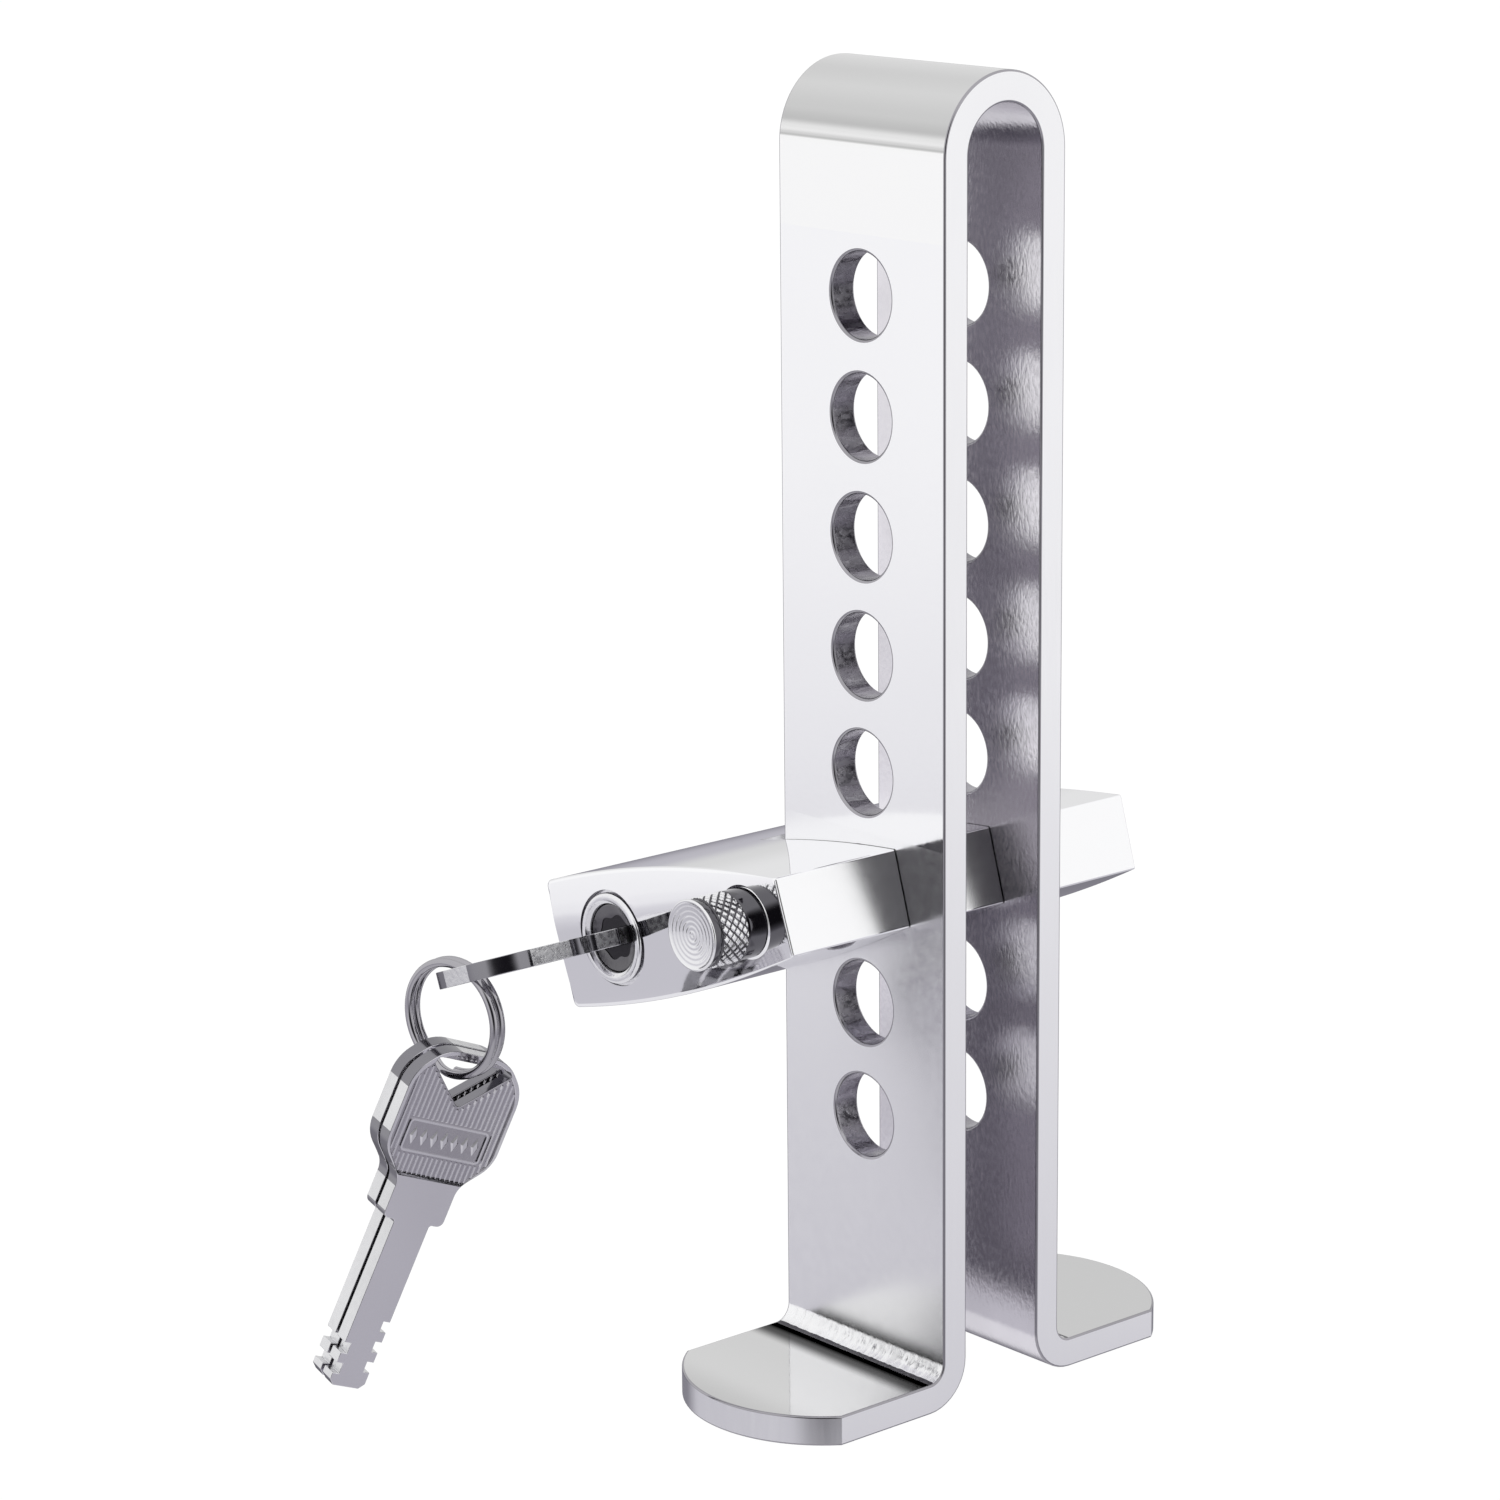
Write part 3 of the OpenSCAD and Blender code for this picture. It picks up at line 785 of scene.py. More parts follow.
def bulged(x, y, z):
    """The front face falls back slightly above and below a soft ridge along its middle."""
    fade = max(0.0, 1 - (y + BODY_HALF) / FACE_FADE)
    ridge = hypot(z - FACE_RIDGE_Z, FACE_RIDGE_HALF) - FACE_RIDGE_HALF
    belly = FACE_BELLY * min(0.0, z - FACE_BELLY_Z) ** 2
    return (x, y + (tan(FACE_FALL) * ridge + belly) * fade, z)


def face_grid(shape, upper, lower, upper_points, y, bulge):
    """Fills an end face of the body with columns between its top and bottom chains."""
    columns = []
    for high, low, (x, z) in zip(upper, lower, upper_points):
        heights = steps(z, -z, FACE_ROWS)[1:-1]
        columns.append([high] + shape.add([bulge(x, y, h) for h in heights]) + [low])
    for column_a, column_b in zip(columns, columns[1:]):
        shape.bridge(column_a, column_b)
    return columns[0], columns[-1]


def body_stations():
    """[y, inset, inset at the right end] of each section of the body, from its front to its rear."""
    stations = []
    for _, depth in quarter_round(FACE_ROUND, ROUND_STEPS):
        insets = [rounding_inset(depth, radius) for radius in (FACE_ROUND, CRISP_ROUND)]
        stations.append((-BODY_HALF + depth, *insets))
    stations += [(y, 0.0, 0.0) for y in (-SLOT_OUT, -PRONG_HALF)]
    return stations + [(-y, inset, right_inset) for y, inset, right_inset in reversed(stations)]


def body_skin():
    """The skin of the body, with two slots that run in from its right end to the web."""
    shape = Shape()
    web = CORNER_STEPS + ARC_STEPS
    rows = []
    for y, inset, right_inset in body_stations():
        points = upper_chain(inset, right_inset)
        upper = shape.add([bulged(x, y, z) for x, z in points])
        lower = shape.add([bulged(x, y, -z) for x, z in points])
        rows.append((y, upper, lower, points))
    for (y_a, up_a, low_a, _), (y_b, up_b, low_b, _) in zip(rows, rows[1:]):
        in_slot = PRONG_HALF <= abs((y_a + y_b) / 2) <= SLOT_OUT
        reach = web + 1 if in_slot else len(up_a)
        shape.bridge(up_a[:reach], up_b[:reach])
        shape.bridge(low_a[:reach], low_b[:reach])
        end = reach - 1
        left_a, left_b = [up_a[0], low_a[0]], [up_b[0], low_b[0]]
        right_a, right_b = [up_a[end], low_a[end]], [up_b[end], low_b[end]]
        if y_a == rows[0][0]:
            left_a, right_a = face_grid(shape, up_a, low_a, rows[0][3], y_a, bulged)
        if y_b == rows[-1][0]:
            left_b, right_b = face_grid(shape, up_b, low_b, rows[-1][3], y_b, lambda *p: p)
        shape.face(left_a + left_b[::-1])
        shape.face(right_a + right_b[::-1], BODY_END)
    for y, upper, lower, _ in rows:
        if abs(y) in (PRONG_HALF, SLOT_OUT):
            shape.face(upper[web:] + lower[:web - 1:-1])
    return shape


def body_bores():
    """The bars that cut the bores: pin, cylinder, crank, latch bolt in two widths, and holding pin."""
    front = -BODY_HALF - CUT_BEYOND
    left = BODY_LEFT - CUT_BEYOND
    below = -BODY_CROWN - CUT_BEYOND
    return (rod(front, PIN_BORE_END, PIN_BORE_R),
            moved(rod(front, CYLINDER_BORE_END, CYLINDER_BORE_R), CYLINDER_X),
            moved(rod(CYLINDER_BORE_END - CUT_OVERLAP, CRANK_BORE_END, CRANK_BORE_R), CYLINDER_X),
            rod(left, LATCH_BORE_END, LATCH_BORE_R, axis="x"),
            rod(LATCH_BORE_END - CUT_OVERLAP, 0.0, LATCH_GUIDE_R, axis="x"),
            moved(rod(below, -SHELL_R, HOLD_R, axis="z"), CYLINDER_X, HOLD_Y))


def lock_block():
    """Solid three-pronged body: a lens in side view, with soft rounded front and rear edges."""
    block = raw_object("lock_block", body_skin(), IN_LOCK, (CHROME, BORED, SATIN))
    for bore in body_bores():
        cut_out(block, bore, IN_LOCK, BODY_BORE)
    finish_piece(block, "lock", ("lock_body",))


# ---- lock cylinder

RING_RIM = 0.6
RING_FRONT_R = SHELL_R - 0.5
RING_FREE_Y = -BODY_HALF + 1.2

# [radius, depth behind the front] down the dished lip inside the ring
RING_LIP = ((6.75, 0.03), (6.55, 0.25), (6.1, 0.5), (SHELL_BORE_R, 0.9))

# the opening round the key: its mean radius, and the [count, height] of the waves that shape its lobes
KEYWAY_R = 4.1
KEYWAY_LOBES = ((2, 0.45), (6, 0.28))

# [share of the way out to the rim, depth behind the plug's front] round the section of the cup
CUP_SECTION = ((1.0, 0.1), (1.0, -0.55), (0.92, -0.6), (0.45, -0.25), (0.0, -0.12), (0.0, 0.1))
CUP_RIM_R = SHELL_BORE_R - 0.1


def cylinder_ring():
    """The front of the cylinder's shell: a bright ring with a rounded rim, standing free of its bore."""
    profile = [(SHELL_BORE_R, SHELL_BACK), (SHELL_R, SHELL_BACK), (SHELL_R, RING_FREE_Y),
               (RING_FRONT_R, RING_FREE_Y)]
    profile += [(RING_FRONT_R - inset, SHELL_FRONT + depth)
                for inset, depth in reversed(quarter_round(RING_RIM, ROUNDING_STEPS))]
    profile += [(radius, SHELL_FRONT + depth) for radius, depth in RING_LIP]
    ring = raw_object("cylinder_ring", turned(profile, ring=True), IN_PLUG, (TURNED_BRIGHT,))
    groove = [(-SHELL_GROOVE_R, GROOVE_START), (SHELL_GROOVE_R, GROOVE_START),
              (SHELL_GROOVE_R, GROOVE_END), (-SHELL_GROOVE_R, GROOVE_END)]
    cut_out(ring, slab(groove, -GROOVE_HALF, GROOVE_HALF), IN_PLUG)
    hold = rod(-2 * SHELL_R, HOLD_DEPTH - SHELL_R, HOLD_R, axis="z")
    cut_out(ring, moved(hold, CYLINDER_X, HOLD_Y), IN_LOCK)
    finish_piece(ring, "lock", ("cylinder_shell",))


def cup_radius(angle, outward):
    """Radius of the cup's section at an angle: the lobed opening, carried out to the round rim."""
    lobed = KEYWAY_R + sum(height * cos(count * angle) for count, height in KEYWAY_LOBES)
    return lobed + (CUP_RIM_R - lobed) * outward


def keyway_cup():
    """Dished collar in front of the plug, with a lobed opening round the key."""
    shape = Shape()
    rings = [shape.add(circle(lambda a: cup_radius(a, outward), PLUG_FRONT + depth, TURNED_AROUND))
             for outward, depth in CUP_SECTION]
    shape.tube(rings, looped=True)
    cup = raw_object("keyway_cup", shape, IN_PLUG, (PLUG_DARK,))
    finish_piece(cup, "plug")


# ---- pin and knob

DARK_AND_SHADED_FINISH, BRIGHT_FINISH = range(2)


def pin_rod():
    """The pin: a collar behind the knob, the rod with its latch groove, and a chamfered tip."""
    soft = 0.25
    chamfer = 1.0
    collar_step = 0.3
    back = -BODY_HALF + collar_step
    profile = [(0, KNOB_SPIGOT_Y), (KNOB_SPIGOT_R, KNOB_SPIGOT_Y), (KNOB_SPIGOT_R, COLLAR_FRONT),
               (COLLAR_R - soft, COLLAR_FRONT), (COLLAR_R, COLLAR_FRONT + soft), (COLLAR_R, back),
               (PIN_R, back + collar_step),
               (PIN_R, -PIN_GROOVE_HALF - soft), (PIN_R - soft, -PIN_GROOVE_HALF),
               (PIN_GROOVE_R, -PIN_GROOVE_HALF), (PIN_GROOVE_R, PIN_GROOVE_HALF),
               (PIN_R - soft, PIN_GROOVE_HALF), (PIN_R, PIN_GROOVE_HALF + soft),
               (PIN_R, PIN_TIP_Y - chamfer), (PIN_R - chamfer, PIN_TIP_Y), (0, PIN_TIP_Y)]
    shape = turned(profile)
    for i, corners in enumerate(shape.faces):
        if min(shape.points[c].y for c in corners) >= back:
            shape.finishes[i] = BRIGHT_FINISH
    pin = raw_object("pin_rod", shape, IN_LOCK, (DARK_STEEL_AND_SHADE, CHROME))
    finish_piece(pin, "pin", ("lock_pin",))


KNURL_STARTS = 22
KNURL_PITCH = 1.6
KNURL_DEPTH = 0.44
KNURL_SLOPE = 1.9
KNURL_FRONT = -49.0
KNURL_FADE = 0.3
KNURL_AROUND = KNURL_STARTS * 8
KNURL_ROWS = 56
KNOB_RIM = 0.3
FACE_CENTRE_R = 0.12
FACE_EDGE_R = KNOB_R - KNOB_RIM - 0.25
FACE_SINK = 0.06
FACE_DISH = 0.25
FACE_RINGS = 42
TOOL_RING_PITCH = 0.85
TOOL_RING_HEIGHT = 0.011


def triangle_wave(t):
    """0 at every whole number and 1 halfway between."""
    return 1 - abs(2 * (t % 1.0) - 1)


def knurl_radius(angle, y):
    """Diamond knurl: two crossing families of grooves leave rows of pyramids."""
    around = KNURL_STARTS * angle / (2 * pi)
    along = (y - KNURL_FRONT) / (2 * KNURL_PITCH)
    nearest = min(triangle_wave(around + along * 2), triangle_wave(around - along * 2))
    height = min(1.0, KNURL_SLOPE * nearest)
    near_end = min(y - KNURL_FRONT, COLLAR_FRONT - y) / KNURL_FADE
    return KNOB_R - KNURL_DEPTH * max(1 - height, 1 - min(1.0, near_end))


def knob_face(radius):
    """Depth of the turned end: rings left by the tool on a slightly dished face."""
    dish = FACE_DISH * (1 - (radius / KNOB_R) ** 2)
    rings = TOOL_RING_HEIGHT * cos(radius * 2 * pi / TOOL_RING_PITCH)
    return KNOB_TIP_Y + FACE_SINK + dish + rings


def knob_knurled():
    """The knob: turned end, rounded rim, a groove darkened by painted reflection, then the diamond knurl with
    painted shade in its valleys.
    """
    shape = Shape()
    rows = []

    def add_row(radius_at, y):
        """Adds a row of points round the knob."""
        rows.append(shape.add(circle(radius_at, y, KNURL_AROUND)))

    for radius in steps(FACE_CENTRE_R, FACE_EDGE_R, FACE_RINGS):
        add_row(lambda _: radius, knob_face(radius))
    for inset, depth in quarter_round(KNOB_RIM, ROUNDING_STEPS):
        add_row(lambda _: KNOB_R - inset, KNOB_TIP_Y + depth)
    for y in steps(KNURL_FRONT, COLLAR_FRONT, KNURL_ROWS):
        add_row(lambda a: knurl_radius(a, y), y)
    add_row(lambda _: KNOB_SPIGOT_R, COLLAR_FRONT)
    add_row(lambda _: KNOB_SPIGOT_R, KNOB_SPIGOT_Y)
    # the groove behind the rim takes a painted dark reflection
    groove = FACE_RINGS + ROUNDING_STEPS + 1
    for i, (row_a, row_b) in enumerate(zip(rows, rows[1:])):
        shape.bridge(row_a, row_b, closed=True, finish=DARK_AND_SHADED_FINISH if i == groove else BRIGHT_FINISH)
    shape.face(rows[0], BRIGHT_FINISH)
    shape.face(rows[-1], BRIGHT_FINISH)
    # painted shade in the knurl's valleys
    for i, corners in enumerate(shape.faces):
        middle = sum((shape.points[c] for c in corners), Vector()) / len(corners)
        knurled = KNURL_FRONT < middle.y < COLLAR_FRONT
        if knurled and hypot(middle.x, middle.z) < KNOB_R - KNURL_DEPTH / 2:
            shape.finishes[i] = DARK_AND_SHADED_FINISH
    knob = raw_object("knob_knurled", shape, IN_LOCK, (DARK_STEEL_AND_SHADE, KNOB_STEEL))
    finish_piece(knob, "pin", ("pin_knob",))


# ---- keys

KEY_FLAT, KEY_SANDY, KEY_SHADED_FIELD, KEY_WALL = range(4)
KEY_TIP = 1.0
KEY_BEVEL = 0.2
KEY_CUT_BEYOND = 1.0
SANDY_FROM = 1.2
STRAIGHT_RATIO = 4

# [distance of the last bit from the tip, count] in each edge of the blade
RIGHT_BITS = (3.2, 3)
LEFT_BITS = (2.2, 2)

POCKET_DEPTH = 0.3
BORDER = 0.75
PATTERN_BELOW_FACE = 0.03
PATTERN_ROOT = 0.05
RIB_PITCH = 0.98
RIB_HALF = 0.28
RIB_TAPER = RIB_HALF * 0.6
RIB_SHORTEST = 0.4
RIB_CLEAR = 0.35
PANEL = (-8.1, 13.0, 8.1, 18.9)
PANEL_LINE = 0.35
PANEL_ROUND = 0.8
PANEL_ROUND_IN = 0.5
PANEL_CLEAR_X = 0.3
PANEL_CLEAR_Y = 0.2
LOZENGES_EACH_SIDE = 3
LOZENGE_PITCH = 2.1
LOZENGE_HALF_X = 0.85
LOZENGE_HALF_Y = 1.7
LOZENGE_TAPER = 0.45


def mirrored(corners):
    """Outline corners carried over to the other side of x = 0, in reverse order."""
    return [(-x, y, radius) for x, y, radius in reversed(corners)]


def key_outline():
    """Outline of a key: bow, neck, and a blade with bits cut in both edges."""
    half, neck, blade = KEY_BOW_HALF, KEY_NECK_HALF, KEY_BLADE_HALF
    right = [(half - KEY_BOW_CUT, 0, 7.0), (half, KEY_BOW_CUT, 7.0),
             (half, KEY_BOW_LEN - KEY_BOW_CUT, 6.0), (neck, KEY_BOW_LEN, 4.0),
             (neck, KEY_NECK_END, 1.2), (blade, KEY_NECK_END, 0.5)]
    left = key_bits(*LEFT_BITS, -1)[::-1] + mirrored(right)
    right += key_bits(*RIGHT_BITS, 1)
    tip = [(blade - KEY_TIP, KEY_LEN, 0), (KEY_TIP - blade, KEY_LEN, 0)]
    return rounded_outline(right + tip + left)


def key_bits(first, count, side):
    """Corners of the square bits in one edge of the blade, from the neck to the tip."""
    edge, floor = side * KEY_BLADE_HALF, side * (KEY_BLADE_HALF - BIT_DEPTH)
    corners = []
    for i in reversed(range(count)):
        far = KEY_LEN - first - i * 2 * BIT_LEN
        near = far - BIT_LEN
        corners += [(edge, near, 0), (floor, near, 0), (floor, far, 0), (edge, far, 0)]
    return corners + [(edge, KEY_LEN - KEY_TIP, 0)]


def eye_outline(grow=0.0):
    """The three-cornered eye near the end of the bow, with rounded corners."""
    radius = EYE_ROUND + grow
    slope = atan2(EYE_FAR - EYE_NEAR, EYE_HALF)
    side = EYE_HALF + radius / tan(slope / 2)
    base_y = EYE_NEAR - EYE_ROUND - grow
    tip_y = EYE_FAR + radius / cos(slope)
    return rounded_outline([(-side, base_y, radius), (side, base_y, radius), (0, tip_y, radius)])


def pocket_outline():
    """The sunk field of the bow, a border's width inside its outline."""
    half = KEY_BOW_HALF - BORDER
    cut = KEY_BOW_CUT - 0.3
    end = KEY_BOW_LEN - 0.4
    end_round = 0.6
    right = [(half - cut, BORDER, 6.4), (half, cut + BORDER, 6.4),
             (half, end - cut, 5.4), (half - cut + end_round, end, end_round)]
    return rounded_outline(right + mirrored(right))


def crossings(outline, x):
    """Heights at which the line across at x meets an outline, in order."""
    found = []
    for a, b in zip(outline, outline[1:] + outline[:1]):
        if (a[0] - x) * (b[0] - x) < 0:
            found.append(a[1] + (b[1] - a[1]) * (x - a[0]) / (b[0] - a[0]))
    return sorted(found)


def rib_spans(x):
    """Stretches of one rib: inside the field, outside the eye and the panel."""
    spans = [crossings(pocket_outline(), x)[:2]]
    blocked = []
    eye = crossings(eye_outline(RIB_CLEAR), x)
    if eye:
        blocked.append(eye[:2])
    if abs(x) < PANEL[2] + PANEL_CLEAR_X:
        blocked.append((PANEL[1] - PANEL_CLEAR_Y, PANEL[3] + PANEL_CLEAR_Y))
    for start, end in blocked:
        pieces = [piece for a, b in spans for piece in ((a, min(b, start)), (max(a, end), b))]
        spans = [(a, b) for a, b in pieces if b - a > RIB_SHORTEST]
    return spans


def raised_bar(shape, corners, base_z, top_z, taper):
    """A low bar with sloping sides on the face of a key."""
    middle = sum((Vector(c) for c in corners), Vector((0, 0))) / len(corners)
    base = shape.add([(c[0], c[1], base_z) for c in corners])
    lifted = []
    for c in corners:
        inward = middle - Vector(c)
        step = Vector((copysign(min(taper, abs(inward.x)), inward.x),
                       copysign(min(taper, abs(inward.y)), inward.y)))
        lifted.append((c[0] + step.x, c[1] + step.y, top_z))
    top = shape.add(lifted)
    shape.face(base)
    shape.face(top)
    shape.bridge(base, top, closed=True)


def box_outline(box, inset, radius):
    """A rectangle with rounded corners, a little inside a box of [x0, y0, x1, y1]."""
    x0, y0, x1, y1 = box[0] + inset, box[1] + inset, box[2] - inset, box[3] - inset
    return rounded_outline([(x0, y0, radius), (x1, y0, radius), (x1, y1, radius), (x0, y1, radius)])


def panel_frame(shape, base_z, top_z):
    """A thin raised border round the panel."""
    outer = box_outline(PANEL, 0, PANEL_ROUND)
    inner = box_outline(PANEL, PANEL_LINE, PANEL_ROUND_IN)
    rows = [shape.add([(p.x, p.y, z) for p in line])
            for line, z in ((outer, base_z), (outer, top_z), (inner, top_z), (inner, base_z))]
    shape.tube(rows, looped=True)


def bow_pattern():
    """Ribs along the bow and a framed panel of plain lozenges, on both faces of a key."""
    shape = Shape()
    count = int((KEY_BOW_HALF - BORDER - RIB_CLEAR) / RIB_PITCH)
    middle_y = (PANEL[1] + PANEL[3]) / 2
    for face in (1, -1):
        base_z = KEY_T / 2 + face * (KEY_T / 2 - POCKET_DEPTH - PATTERN_ROOT)
        top_z = KEY_T / 2 + face * (KEY_T / 2 - PATTERN_BELOW_FACE)
        for i in range(-count, count + 1):
            left, right = i * RIB_PITCH - RIB_HALF, i * RIB_PITCH + RIB_HALF
            for low, high in rib_spans(i * RIB_PITCH):
                corners = [(left, low), (right, low), (right, high), (left, high)]
                raised_bar(shape, corners, base_z, top_z, RIB_TAPER)
        panel_frame(shape, base_z, top_z)
        for i in range(-LOZENGES_EACH_SIDE, LOZENGES_EACH_SIDE + 1):
            x = LOZENGE_PITCH * i
            lozenge = [(x - LOZENGE_HALF_X, middle_y), (x, middle_y - LOZENGE_HALF_Y),
                       (x + LOZENGE_HALF_X, middle_y), (x, middle_y + LOZENGE_HALF_Y)]
            raised_bar(shape, lozenge, base_z, top_z, LOZENGE_TAPER)
    return shape


def key_pieces(name, placing, body):
    """A key: its blank, cut and bevelled, and the pattern pressed into its bow."""
    shape = slab(key_outline(), 0, KEY_T, KEY_WALL)
    shape.finishes[:2] = (KEY_FLAT, KEY_FLAT)
    for i, (corner, following, *_) in enumerate(shape.faces):
        along = shape.points[following] - shape.points[corner]
        long_side, short_side = max(abs(along.x), abs(along.y)), min(abs(along.x), abs(along.y))
        if i > 1 and long_side > max(SANDY_FROM, STRAIGHT_RATIO * short_side):
            shape.finishes[i] = KEY_SANDY
    blank = raw_object(name + "_blank", shape, placing, (KEY_FACE, KEY_EDGE, KEY_FIELD_PAINTED_SHADE, KEY_SIDE))
    below, above = -KEY_CUT_BEYOND, KEY_T + KEY_CUT_BEYOND
    cut_out(blank, slab(eye_outline(), below, above), placing, KEY_WALL)
    # the sunk field's floor takes painted shade
    cut_out(blank, slab(pocket_outline(), below, POCKET_DEPTH), placing, KEY_SHADED_FIELD)
    cut_out(blank, slab(pocket_outline(), KEY_T - POCKET_DEPTH, above), placing, KEY_SHADED_FIELD)
    finish_piece(blank, body, (name,), bevel=KEY_BEVEL)
    pattern = raw_object(name + "_pattern", bow_pattern(), placing, (KEY_FACE,))
    finish_piece(pattern, body)


def all_keys():
    """The key in the lock, and the two spare keys on the ring."""
    key_pieces("key_1", IN_PLUG @ Matrix.Translation((0, -KEY_OUT, -KEY_T / 2)), "key_1")
    key_pieces("key_2", spare_key_placing(-KEY_2_GAP - KEY_T), "key_2")
    key_pieces("key_3", spare_key_placing(KEY_3_GAP), "key_3")


# ---- split ring

COIL_STEPS = 240
WIRE_AROUND = 20


def coil_offset(angle):
    """The wire makes one flat turn, crosses over, and makes a second flat turn beside the first."""
    crossing = min(1.0, max(0.0, (angle - CROSSING_START) / CROSSING_SPAN))
    eased = crossing * crossing * (3 - 2 * crossing)
    return (WIRE_R - WIRE_SINK) * (2 * eased - 1)


def split_ring_coil():
    """Round wire coiled twice, with its two cut ends lying beside the other turn."""
    shape = Shape()
    rows = []
    for angle in steps(COIL_START, COIL_END, COIL_STEPS):
        heading = angle + RING_ENDS_AT
        outward = Vector((cos(heading), sin(heading), 0))
        centre = outward * RING_R + Vector((0, 0, coil_offset(angle)))
        rows.append(shape.add([centre + outward * (WIRE_R * cos(a)) + Vector((0, 0, WIRE_R * sin(a)))
                               for a in angles_round(WIRE_AROUND)]))
    shape.tube(rows)
    shape.face(rows[0])
    shape.face(rows[-1])
    ring = raw_object("split_ring_coil", shape, ring_placing(), (RING_STEEL,))
    finish_piece(ring, "ring", ("split_ring",))


# ---- studio

CAMERA_TURN = radians(49.463)
CAMERA_RISE = radians(14.022)
CAMERA_ROLL = radians(-0.574)
CAMERA_DISTANCE = 0.767509
CAMERA_AIM_RIGHT = -0.028859
CAMERA_AIM_UP = 0.109446
CAMERA_LENS = 109.377
CAMERA_SENSOR = 36.0
CAMERA_NEAR = 0.05
CAMERA_FAR = 50


def camera_back(lowered=0.0):
    """Unit vector from the object to the camera, or to a place lower by an angle."""
    rise = CAMERA_RISE - lowered
    flat = cos(rise)
    return Vector((sin(CAMERA_TURN) * flat, -cos(CAMERA_TURN) * flat, sin(rise)))


def add_camera():
    """The camera of the main view, rolled a little about its line of sight."""
    back = camera_back()
    right = Vector((cos(CAMERA_TURN), sin(CAMERA_TURN), 0))
    up = back.cross(right)
    rolled_right = right * cos(CAMERA_ROLL) + up * sin(CAMERA_ROLL)
    rolled_up = up * cos(CAMERA_ROLL) - right * sin(CAMERA_ROLL)
    aim = right * CAMERA_AIM_RIGHT + Vector((0, 0, CAMERA_AIM_UP))
    turn = Matrix((rolled_right, rolled_up, back)).transposed().to_4x4()
    data = bpy.data.cameras.new("camera")
    data.sensor_width = CAMERA_SENSOR
    data.lens = CAMERA_LENS
    data.clip_start = CAMERA_NEAR
    data.clip_end = CAMERA_FAR
    camera = add_object("camera", data)
    camera.matrix_world = Matrix.Translation(aim + back * CAMERA_DISTANCE) @ turn
    bpy.context.scene.camera = camera


# brightness of the surroundings by elevation in degrees, in the directions each kind of face mirrors
FRONT_LIGHT = ((-90, 0.80), (-32, 0.80), (-25, 0.56), (-20, 0.56), (-17, 0.68), (-14, 0.84),
               (-10, 0.94), (-5, 0.96), (0, 0.97), (90, 1.0))
RIGHT_LIGHT = ((-90, 0.50), (-30, 0.55), (-21, 0.66), (-17, 0.77), (-12, 0.90), (-6, 0.93), (0, 1.0),
               (30, 1.0), (60, 0.9), (90, 1.0))
REAR_LIGHT = ((-90, 0.20), (-25, 0.22), (-14, 0.28), (-5, 0.50), (0, 0.68), (6, 0.78), (40, 0.78), (90, 1.0))
LILAC = (0.985, 0.965, 1.06)

# angles within which each light is full and beyond which it is gone, from the middle of its side
RIGHT_SPREAD = (radians(45), radians(80))
REAR_SPREAD = (radians(35), radians(60))
DARK_SPREAD = (radians(14), radians(40))
DARK_DROP = radians(8)
DARK_COLOUR = (0.03, 0.028, 0.034, 1.0)
WHITE = (1.0, 1.0, 1.0, 1.0)

FLOOR_HALF = 6.0
FLOOR_BELOW = 0.0003
FLOOR_GLOW = 1.03
FLOOR_SHADOW = 0.04


def light_ramp(tree, height, levels):
    """Brightness by elevation, tinted lilac where it is dim and below the horizon."""
    stops = []
    for elevation, level in levels:
        dimness = 2 - 2 * level if elevation < 0 else 0
        stops.append(((elevation + 90) / 180, [min(1.0, level * tint ** dimness) for tint in LILAC]))
    return colour_ramp(tree, height, stops)


def facing(tree, direction, towards, spread):
    """1 where a direction lies near another, 0 where it lies far off, soft between two angles."""
    dot = add_node(tree, "ShaderNodeVectorMath", {0: direction, 1: towards}, operation="DOT_PRODUCT")
    inputs = {"Value": dot.outputs["Value"], "From Min": cos(spread[1]), "From Max": cos(spread[0])}
    return add_node(tree, "ShaderNodeMapRange", inputs, interpolation_type="SMOOTHSTEP").outputs["Result"]


def emptied_tree(owner):
    """The node tree of a world or material, without nodes."""
    owner.use_nodes = True
    owner.node_tree.nodes.clear()
    return owner.node_tree


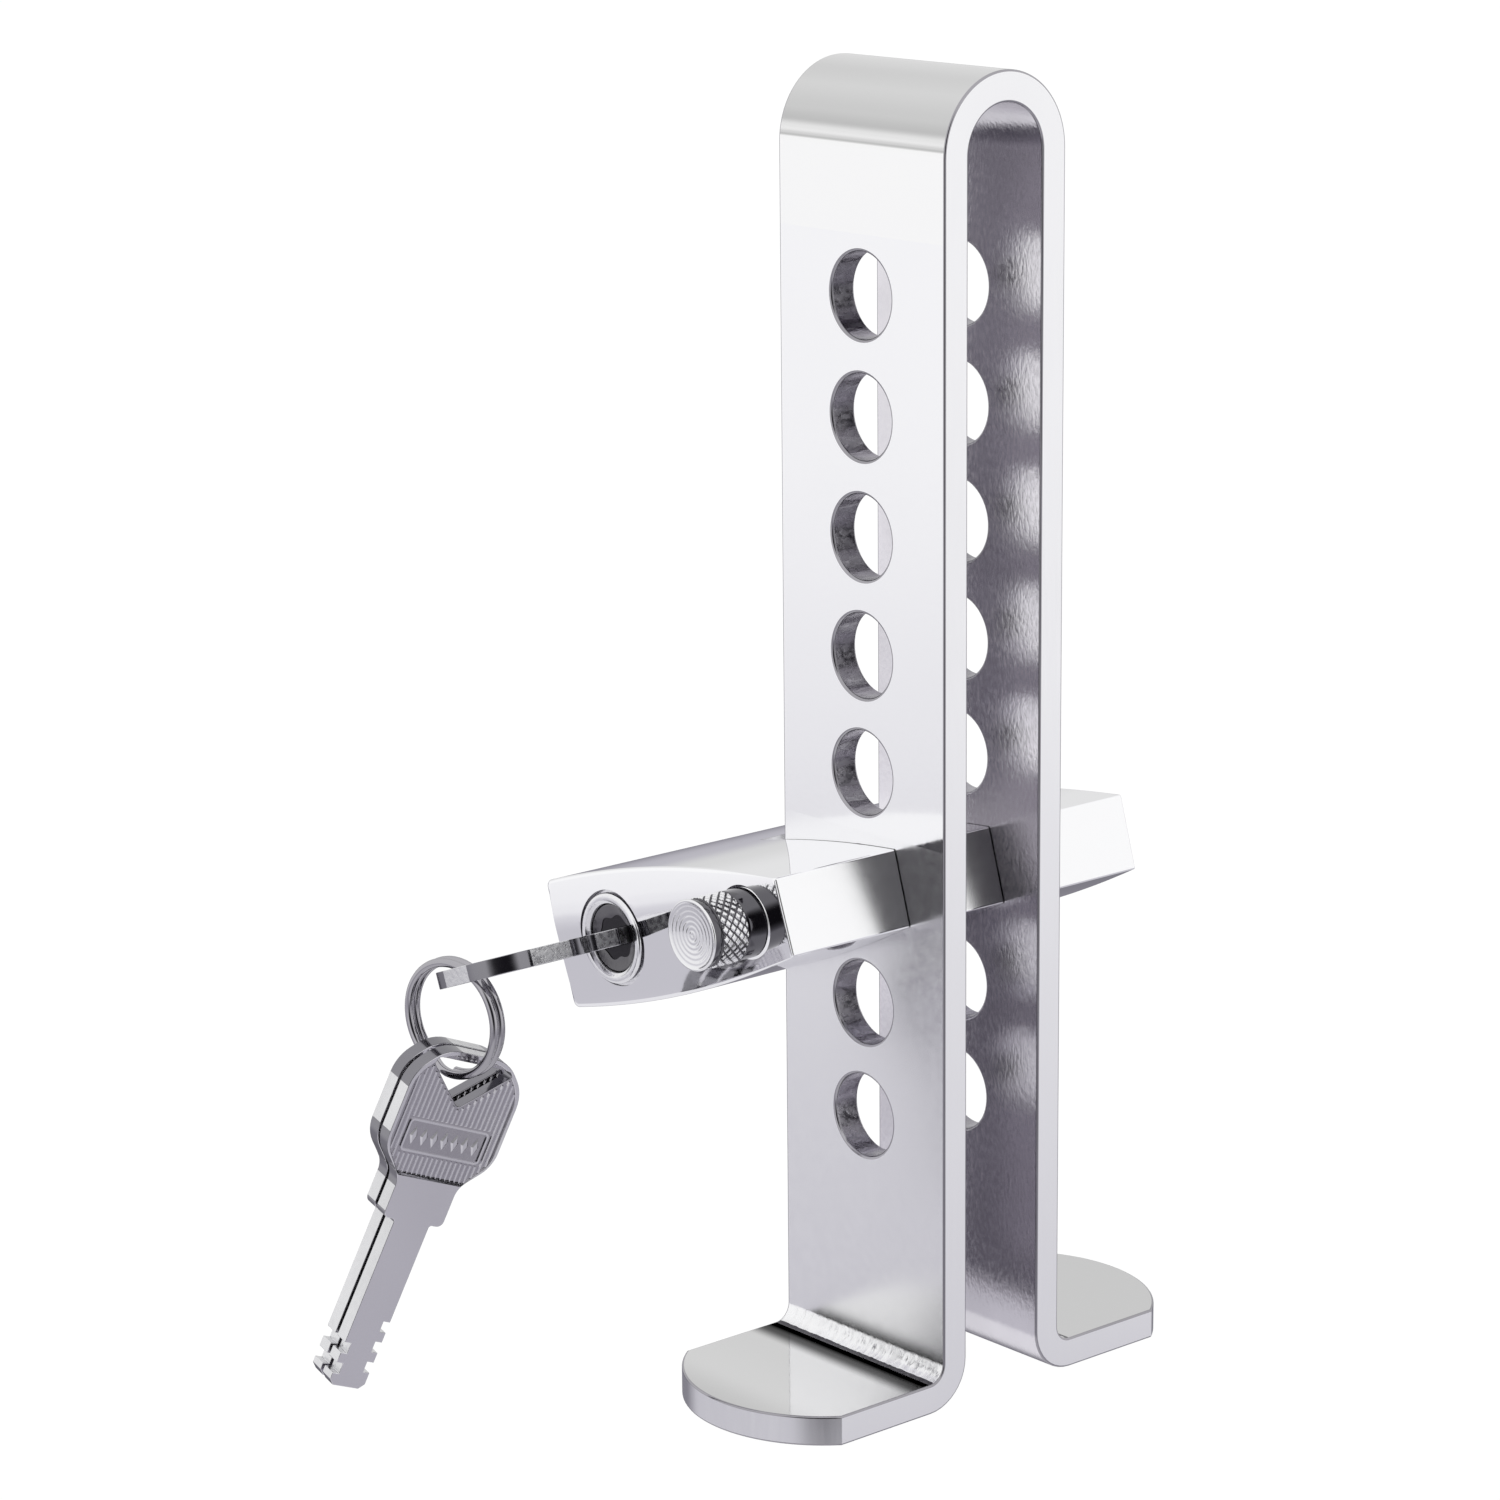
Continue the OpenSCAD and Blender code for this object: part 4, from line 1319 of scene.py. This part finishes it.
def add_surroundings():
    """White backdrop for the camera, and a soft tent of grey cards for the metal to mirror."""
    world = bpy.data.worlds.new("studio")
    bpy.context.scene.world = world
    tree = emptied_tree(world)
    direction = add_node(tree, "ShaderNodeTexCoord").outputs["Generated"]
    parts = add_node(tree, "ShaderNodeSeparateXYZ", {"Vector": direction})
    angle = add_node(tree, "ShaderNodeMath", {0: parts.outputs["Z"]}, operation="ARCSINE")
    height = add_node(tree, "ShaderNodeMath", {0: angle.outputs["Value"], 1: 1 / pi, 2: 0.5},
                      operation="MULTIPLY_ADD").outputs["Value"]
    front, right, rear = [light_ramp(tree, height, light) for light in (FRONT_LIGHT, RIGHT_LIGHT, REAR_LIGHT)]
    back = camera_back()
    to_right = Vector((back.x, -back.y, 0)).normalized()
    to_rear = Vector((-back.x, -back.y, 0)).normalized()
    colour = front
    for towards, spread, light in ((to_right, RIGHT_SPREAD, right), (to_rear, REAR_SPREAD, rear),
                                   (camera_back(DARK_DROP), DARK_SPREAD, DARK_COLOUR)):
        colour = mixed(tree, facing(tree, direction, towards, spread), colour, light)
    seen = add_node(tree, "ShaderNodeLightPath").outputs["Is Camera Ray"]
    colour = mixed(tree, seen, colour, WHITE)
    light = add_node(tree, "ShaderNodeBackground", {"Color": colour, "Strength": 1.0})
    add_node(tree, "ShaderNodeOutputWorld", {"Surface": light.outputs["Background"]})


def add_floor():
    """Plain white floor that only just darkens under the object."""
    half = FLOOR_HALF
    mesh = bpy.data.meshes.new("floor")
    corners = [(-half, -half, 0), (half, -half, 0), (half, half, 0), (-half, half, 0)]
    mesh.from_pydata(corners, [], [(0, 1, 2, 3)])
    material = bpy.data.materials.new("floor")
    tree = emptied_tree(material)
    glow = add_node(tree, "ShaderNodeEmission", {"Color": WHITE, "Strength": FLOOR_GLOW})
    matt = add_node(tree, "ShaderNodeBsdfDiffuse", {"Color": WHITE})
    surface = add_node(tree, "ShaderNodeMixShader",
                       {0: FLOOR_SHADOW, 1: glow.outputs["Emission"], 2: matt.outputs["BSDF"]})
    add_node(tree, "ShaderNodeOutputMaterial", {"Surface": surface.outputs["Shader"]})
    mesh.materials.append(material)
    floor = add_object("floor", mesh)
    floor.location.z = -FLOOR_BELOW
    floor.visible_glossy = False
    floor.visible_diffuse = False


# ---- build

finish_cad_nodes()
bracket_strip()
lock_block()
cylinder_ring()
keyway_cup()
pin_rod()
knob_knurled()
all_keys()
split_ring_coil()
add_surroundings()
add_floor()
add_camera()
bpy.context.scene.view_settings.view_transform = "Standard"
